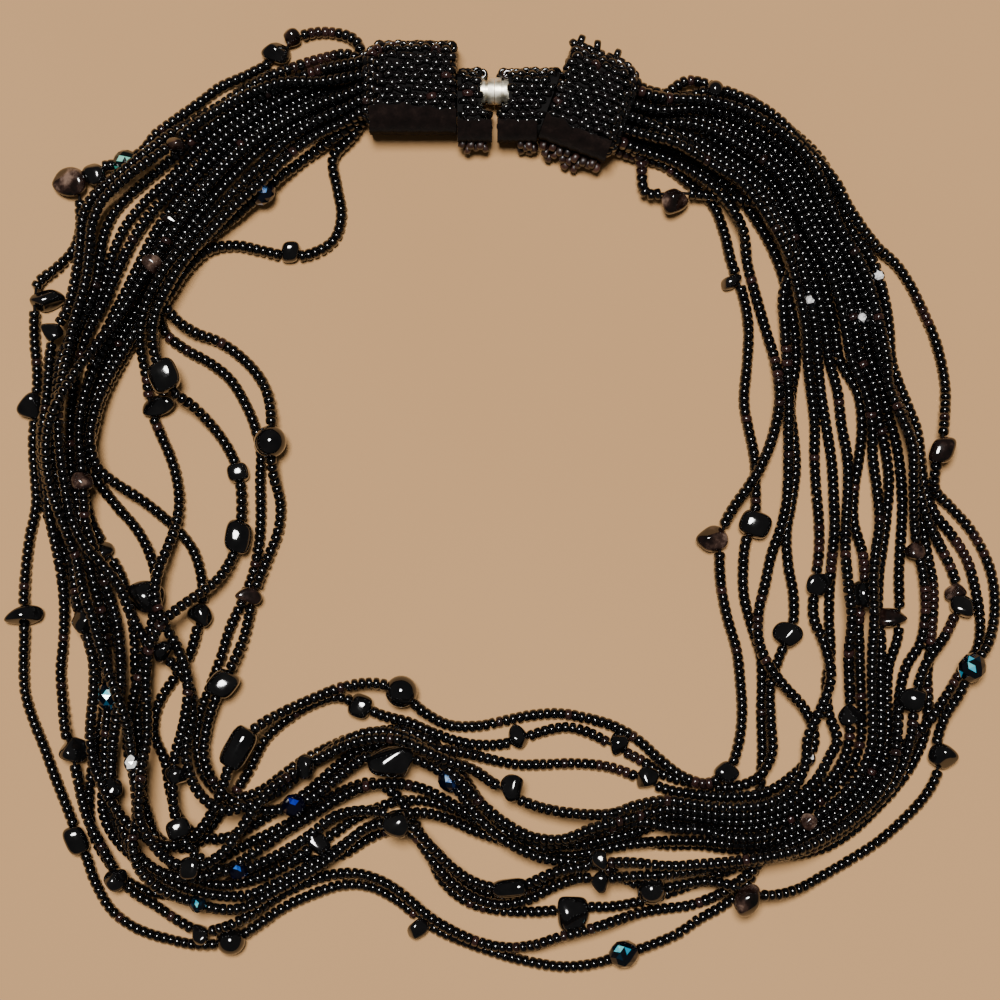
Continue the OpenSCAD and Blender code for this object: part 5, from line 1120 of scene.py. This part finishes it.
def bead_places(taken, length):
    """Places for seed beads, spread evenly over each stretch of a strand that no larger bead takes."""
    edges = [0.0]
    for place, half in sorted(taken):
        edges += [place - half, place + half]
    edges.append(length)
    places = []
    for low, high in zip(edges[::2], edges[1::2]):
        count = max(0, round((high - low) / SEED_PITCH))
        places += [low + (high - low) * (i + 0.5) / count for i in range(count)]
    return np.array(places)


def make_strand(number):
    """One strand: seed beads and small accents on their thread, with room left for the larger beads."""
    course = Course(number)
    builder = Builder()
    taken = [make_larger_bead(name, course) for name in ACCENTS if ACCENTS[name][0] == number]
    taken += [add_accent(builder, k, course) for k, row in enumerate(SMALL_ACCENTS) if row[0] == number]
    length = course.run[-1]
    places = bead_places(taken, length)
    rng = np.random.default_rng(STRAND_SEED + number)
    add_seeds(builder, course.at(places), axes_along(course.along(places)), rng)
    add_thread(builder, course.at(np.linspace(0, length, int(length / THREAD_STEP))))
    builder.make(strand_name(number) + "_beads", strand_name(number))


# Woven end caps and sleeves: each is a rounded bar along x from 0, in its own frame, until it is placed

def perimeter(w, h, r):
    return 2 * (w + h) - 8 * r + 2 * math.pi * r


def rounded_outline(w, h, r, count, start=0.5):
    """Points spread evenly round a rounded rectangle, each with its outward direction."""
    straight = [w - 2 * r, h - 2 * r]
    corner = math.pi * r / 2
    total = 2 * sum(straight) + 4 * corner
    points = []
    for i in range(count):
        s = (i + start) * total / count
        for side in range(4):
            angle = side * math.pi / 2
            length = straight[side % 2]
            half = [h / 2, w / 2][side % 2]
            out = np.array([-math.sin(angle), math.cos(angle)])
            along = np.array([-math.cos(angle), -math.sin(angle)])
            if s < length:
                points.append((out * half + along * (s - length / 2), out))
                break
            s -= length
            if s < corner:
                corner_out = out * math.cos(s / r) + along * math.sin(s / r)
                points.append((out * (half - r) + along * length / 2 + corner_out * r, corner_out))
                break
            s -= corner
    return points


def round_axes(out):
    """Axes of a bead stitched on a bar's side that faces out: along the round, outward, and along the bar."""
    return [[0, -out[1], out[0]], [0, out[0], out[1]], [1, 0, 0]]


def woven_shell(l, w, h, keep):
    """Beads stitched round a bar of length l: centres and axes."""
    inner_w, inner_h, r = w - 2 * SEED_R, h - 2 * SEED_R, EDGE_R - SEED_R
    columns = 2 * round(perimeter(inner_w, inner_h, r) / WEAVE_COLUMN / 2)
    centres, axes = [], []
    for i, (p, out) in enumerate(rounded_outline(inner_w, inner_h, r, columns)):
        x = SEED_R + (WEAVE_ROW / 2 if i % 2 else 0)
        while x < l - SHELL_END:
            centre = np.array([x, p[0], p[1]])
            if keep(centre):
                centres.append(centre)
                axes.append(round_axes(out))
            x += WEAVE_ROW
    return centres, axes


def woven_end(x, w, h, keep):
    """Beads across the flat end of a bar, inside its outer ring."""
    centres, axes = [], []
    rows = int((h - 4 * SEED_R) / WEAVE_ROW) + 1
    columns = int((w - 4 * SEED_R) / WEAVE_COLUMN) + 1
    for i in range(columns):
        for j in range(rows):
            y = (i - (columns - 1) / 2) * WEAVE_COLUMN
            z = (j - (rows - 1) / 2 + (0.5 if i % 2 else 0)) * WEAVE_ROW
            centre = np.array([x, y, z])
            if abs(z) < h / 2 - END_EDGE and keep(centre):
                centres.append(centre)
                axes.append([[0, 1, 0], [0, 0, 1], [1, 0, 0]])
    return centres, axes


def mouth_rim(l, w, h):
    """Two rounds of beads that close in on the strands where they leave a cap."""
    centres, axes = [], []
    for out, inset in RIM_ROUNDS:
        inner_w, inner_h = w - 2 * SEED_R - 2 * inset, h - 2 * SEED_R - 2 * inset
        r = EDGE_R - SEED_R - inset * RIM_CORNER
        count = round(perimeter(inner_w, inner_h, r) / WEAVE_COLUMN)
        for p, outward in rounded_outline(inner_w, inner_h, r, count, start=out * RIM_START):
            centres.append([l + out - SEED_R, p[0], p[1]])
            axes.append(round_axes(outward))
    return centres, axes


def picot(middle, along, rise):
    """A loop of three beads standing on an edge."""
    centres, axes = [], []
    flat = np.cross(rise, along)
    for side, height in PICOT_BEADS:
        centres.append(middle + along * side * PICOT_HALF + rise * height * SEED_R)
        lean = along if side == 0 else rise - along * side * PICOT_LEAN
        lean = lean / np.linalg.norm(lean)
        axes.append([lean, np.cross(flat, lean), flat])
    return centres, axes


def shadow_edge_beads(edge, depth, rng):
    """Painted shadow: uneven brown beads along the lower edge of the beadwork, standing in for the lumpy edge
    of its shadow, from one place to another.
    """
    start, end = np.array(edge) * MM
    length = np.linalg.norm(end - start)
    along = (end - start) / length
    out = np.array([along[1], -along[0]])
    centres, axes = [], []
    for row in range(EDGE_ROWS):
        for i in range(int(length / EDGE_PITCH)):
            if row == EDGE_ROWS - 1 and rng.uniform() < EDGE_MISSED:
                continue
            share = EDGE_FIRST + EDGE_EACH * row + rng.uniform(*EDGE_SPREAD)
            p = start + along * (i + 0.5 + 0.5 * (row % 2)) * EDGE_PITCH + out * depth * share
            centres.append([p[0], p[1], EDGE_TOP - EDGE_PITCH * row])
            axes.append([[along[0], along[1], 0], [0, 0, 1], [out[0], out[1], 0]])
    return centres, axes


def core_bar(ends, w, h):
    """Plain dark body under the beadwork: each of the two ends gives x for a place across."""
    outline = rounded_outline(w - 2 * CORE_INSET, h - 2 * CORE_INSET, EDGE_R - CORE_INSET, CORE_POINTS)
    verts = [(end(p[0]), p[0], p[1]) for end in ends for p, _ in outline]
    return np.array(verts), tube_faces(2, CORE_POINTS) + end_faces(2, CORE_POINTS)


def band_section(width, w, h):
    """The painted shade band's section at one place: up the side of its bar, over the edge, and tucked in at
    width.
    """
    r = EDGE_R
    path = [(w / 2 - inset * r, -h / 2 + rise * r) for inset, rise in SHADE_BAND_FOOT]
    path.append((w / 2, h / 2 - r))
    for a in np.linspace(*SHADE_BAND_CORNER):
        path.append((w / 2 - r + r * math.cos(a), h / 2 - r + r * math.sin(a)))
    path += [(w / 2 - r - max(width - r, SHADE_BAND_LEAST) * k / 3, h / 2) for k in (1, 2, 3)]
    tuck = (path[-1][0] - SHADE_BAND_TUCK[0], h / 2 - SHADE_BAND_TUCK[1])
    return [(y + SHADE_BAND_OUT, z + SHADE_BAND_OUT) for y, z in path] + [tuck]


def painted_shade_band(side, reach, l, w, h):
    """Painted shade: a dark band wrapped round one side of a bar of length l, up to a varying reach onto its
    top.
    """
    rows = []
    for i in range(SHADE_BAND_STEPS + 1):
        share = i / SHADE_BAND_STEPS
        width = np.interp(share, np.linspace(0, 1, len(reach)), reach)
        width += SHADE_BAND_WAVER * math.sin(share * SHADE_BAND_WAVER_RATE + w * SHADE_BAND_WAVER_START)
        wave = SHADE_BAND_WAVE * math.sin(share * SHADE_BAND_WAVE_RATE)
        rows += [(l * share, side * (y + wave), min(z, h / 2 + SHADE_BAND_T)) for y, z in band_section(width, w, h)]
    across = len(rows) // (SHADE_BAND_STEPS + 1)
    faces = [(i * across + k, i * across + k + 1, (i + 1) * across + k + 1, (i + 1) * across + k)
             for i in range(SHADE_BAND_STEPS) for k in range(across - 1)]
    if side > 0:
        faces = [tuple(reversed(face)) for face in faces]
    return np.array(rows), faces


def placed(points, origin, turn):
    c, s = math.cos(turn), math.sin(turn)
    return np.asarray(points) @ np.array([[c, s, 0], [-s, c, 0], [0, 0, 1]]) + origin


def add_weave(builder, beads, rng, origin=0, turn=0.0, finish="woven"):
    centres = placed(beads[0], origin, turn)
    centres += rng.normal(scale=WEAVE_SHIFT, size=centres.shape)
    add_seeds(builder, centres, placed(beads[1], 0, turn), rng, finish, WEAVE_LOOSE)


def add_cap(builder, rng, mouth, turn, l, w, side, reach):
    """One end cap, with its painted shade band on the side given as 1 or -1."""
    origin = np.array([*(mouth - l * heading(turn)), CAP_H / 2])

    def outside_band(c):
        covered = np.interp(c[0] / l, np.linspace(0, 1, len(reach)), reach)
        return side * c[1] < w / 2 - covered + SHADE_BAND_OVERLAP

    def inside_ring(c):
        return abs(c[1]) < w / 2 - 2 * SEED_R

    add_weave(builder, woven_shell(l, w, CAP_H, outside_band), rng, origin, turn)
    add_weave(builder, woven_end(SEED_R, w, CAP_H, inside_ring), rng, origin, turn)
    add_weave(builder, mouth_rim(l, w, CAP_H), rng, origin, turn)
    core, faces = core_bar((lambda y: CAP_CORE_START, lambda y: l - MOUTH_HOLLOW), w, CAP_H)
    builder.add(placed(core, origin, turn), faces, "thread", smooth=False)
    # painted shade: the dark band on the cap's shaded side
    band, faces = painted_shade_band(side, reach, l, w, CAP_H)
    builder.add(placed(band, origin, turn), faces, "painted_shade_felt")


def make_left_cap():
    builder = Builder()
    rng = np.random.default_rng(LEFT_CAP_SEED)
    add_cap(builder, rng, LEFT_MOUTH, LEFT_TURN, LEFT_CAP_L, LEFT_CAP_W, 1, LEFT_CAP_BAND)
    builder.make("left_cap_weave", "left_cap")


def make_right_cap():
    """The right cap, with picots along its far edge and brown beads of painted shadow along its near one."""
    builder = Builder()
    rng = np.random.default_rng(RIGHT_CAP_SEED)
    add_cap(builder, rng, RIGHT_MOUTH, RIGHT_TURN, RIGHT_CAP_L, RIGHT_CAP_W, -1, RIGHT_CAP_BAND)
    along = np.array([*heading(RIGHT_TURN), 0])
    rise = np.array([*heading(RIGHT_TURN + math.pi / 2), 0])
    corner = np.array([*(RIGHT_MOUTH - RIGHT_CAP_L * heading(RIGHT_TURN)), 0])
    edge = corner + rise * (RIGHT_CAP_W / 2 - PICOT_INSET)
    for run, z in PICOTS:
        add_weave(builder, picot(edge + along * run + UP * z, along, rise), rng)
    # painted shadow: brown beads along the cap's lower edge
    add_weave(builder, shadow_edge_beads(RIGHT_CAP_EDGE, CAP_FRINGE, rng), rng, finish="brown")
    builder.make("right_cap_weave", "right_cap")


def in_notch(p):
    """Whether a place is in the notch over the clasp, on top of the seam."""
    return abs(p[0] - SEAM_X) < NOTCH_ALONG and abs(p[1] - CLASP_Y) < NOTCH_ACROSS and p[2] > CLASP_Z


def slant_end(y):
    """Where the right sleeve's slanted end is, for a place across in the sleeve's own frame."""
    slant = heading(RIGHT_TURN)
    reach = RIGHT_MOUTH @ slant - RIGHT_CAP_L - GAP
    return (reach - (y + SLEEVE_Y) * slant[1]) / slant[0]


def add_sleeve_beads(builder, rng, origin, l, end_x, far_end):
    """Beads round a sleeve and over its end at the seam, clear of the clasp, the notch and the painted shade
    band.
    """

    def on_side(c):
        bare = c[1] > -SLEEVE_W / 2 + SLEEVE_BAND[0] - SHADE_BAND_OVERLAP
        return c[0] < far_end(c[1]) - SLANT_ROOM and bare and not in_notch(c + origin)

    def on_end(c):
        p = c + origin
        clear = math.hypot(p[1] - CLASP_Y, p[2] - CLASP_Z) > CLASP_ROOM
        return clear and not in_notch(p) and abs(c[1]) < SLEEVE_W / 2 - 2 * SEED_R

    add_weave(builder, woven_shell(l, SLEEVE_W, SLEEVE_H, on_side), rng, origin)
    add_weave(builder, woven_end(end_x, SLEEVE_W, SLEEVE_H, on_end), rng, origin)


def add_sleeve_body(builder, origin, ends, band_l):
    core, faces = core_bar(ends, SLEEVE_W, SLEEVE_H)
    builder.add(core + origin, faces, "thread", smooth=False)
    # painted shade: the dark band on the sleeve's shaded side
    band, faces = painted_shade_band(-1, SLEEVE_BAND, band_l, SLEEVE_W, SLEEVE_H)
    builder.add(band + origin, faces, "painted_shade_felt")


def make_left_sleeve():
    """The left sleeve, from the cap to the seam."""
    start = LEFT_MOUTH[0] + LEFT_CAP_L + GAP
    l = SEAM_X - SEAM_OPEN / 2 - start
    origin = np.array([start, SLEEVE_Y, CLASP_Z])
    builder = Builder()
    rng = np.random.default_rng(LEFT_SLEEVE_SEED)
    add_sleeve_beads(builder, rng, origin, l, l - SEED_R, lambda y: l)
    add_sleeve_body(builder, origin, (lambda y: 0.0, lambda y: l - SEAM_CLEAR), l)
    # painted shadow: brown beads along the sleeve's lower edge
    add_weave(builder, shadow_edge_beads(LEFT_SLEEVE_EDGE, SLEEVE_FRINGE, rng), rng, finish="brown")
    builder.make("left_sleeve_weave", "left_sleeve")


def make_right_sleeve():
    """The right sleeve, from the seam to its slanted end at the cap."""
    start = SEAM_X + SEAM_OPEN / 2
    origin = np.array([start, SLEEVE_Y, CLASP_Z])

    def far_end(y):
        return slant_end(y) - start

    builder = Builder()
    rng = np.random.default_rng(RIGHT_SLEEVE_SEED)
    add_sleeve_beads(builder, rng, origin, RIGHT_SLEEVE_L, SEED_R, far_end)
    add_sleeve_body(builder, origin, (lambda y: SEAM_CLEAR, far_end), far_end(-SLEEVE_W / 2))
    # painted shadow: brown beads along the sleeve's lower edge
    add_weave(builder, shadow_edge_beads(RIGHT_SLEEVE_EDGE, SLEEVE_FRINGE, rng), rng, finish="brown")
    builder.make("right_sleeve_weave", "right_sleeve")


def finish_clasp(name):
    """A half of the clasp keeps its solid, with the metal finish."""
    materials = NODES[name].data.materials
    materials.clear()
    materials.append(FINISHES["metal"])


# Floor and light

def make_floor():
    mesh = bpy.data.meshes.new("floor")
    corners = [(x * FLOOR_HALF, y * FLOOR_HALF, 0) for x, y in ((-1, -1), (1, -1), (1, 1), (-1, 1))]
    mesh.from_pydata(corners, [], [(0, 1, 2, 3)])
    mesh.materials.append(floor_cloth())
    floor = bpy.data.objects.new("floor", mesh)
    bpy.context.scene.collection.objects.link(floor)


def make_light():
    """One overhead lamp in a dim room."""
    data = bpy.data.lights.new("key", "SUN")
    data.angle = KEY_ANGLE
    data.energy = KEY_POWER
    data.color = KEY_COLOUR
    lamp = bpy.data.objects.new("key", data)
    lamp.rotation_euler = Vector(KEY_WAY).to_track_quat("Z", "Y").to_euler()
    bpy.context.scene.collection.objects.link(lamp)
    world = bpy.data.worlds.new("studio")
    world.use_nodes = True
    background = world.node_tree.nodes["Background"]
    background.inputs["Color"].default_value = ROOM_COLOUR
    background.inputs["Strength"].default_value = ROOM_LIGHT
    bpy.context.scene.world = world


for number in range(len(STRANDS)):
    make_strand(number)
make_left_cap()
make_right_cap()
make_left_sleeve()
make_right_sleeve()
finish_clasp("clasp_left")
finish_clasp("clasp_right")
make_floor()
make_light()

bpy.context.view_layer.update()
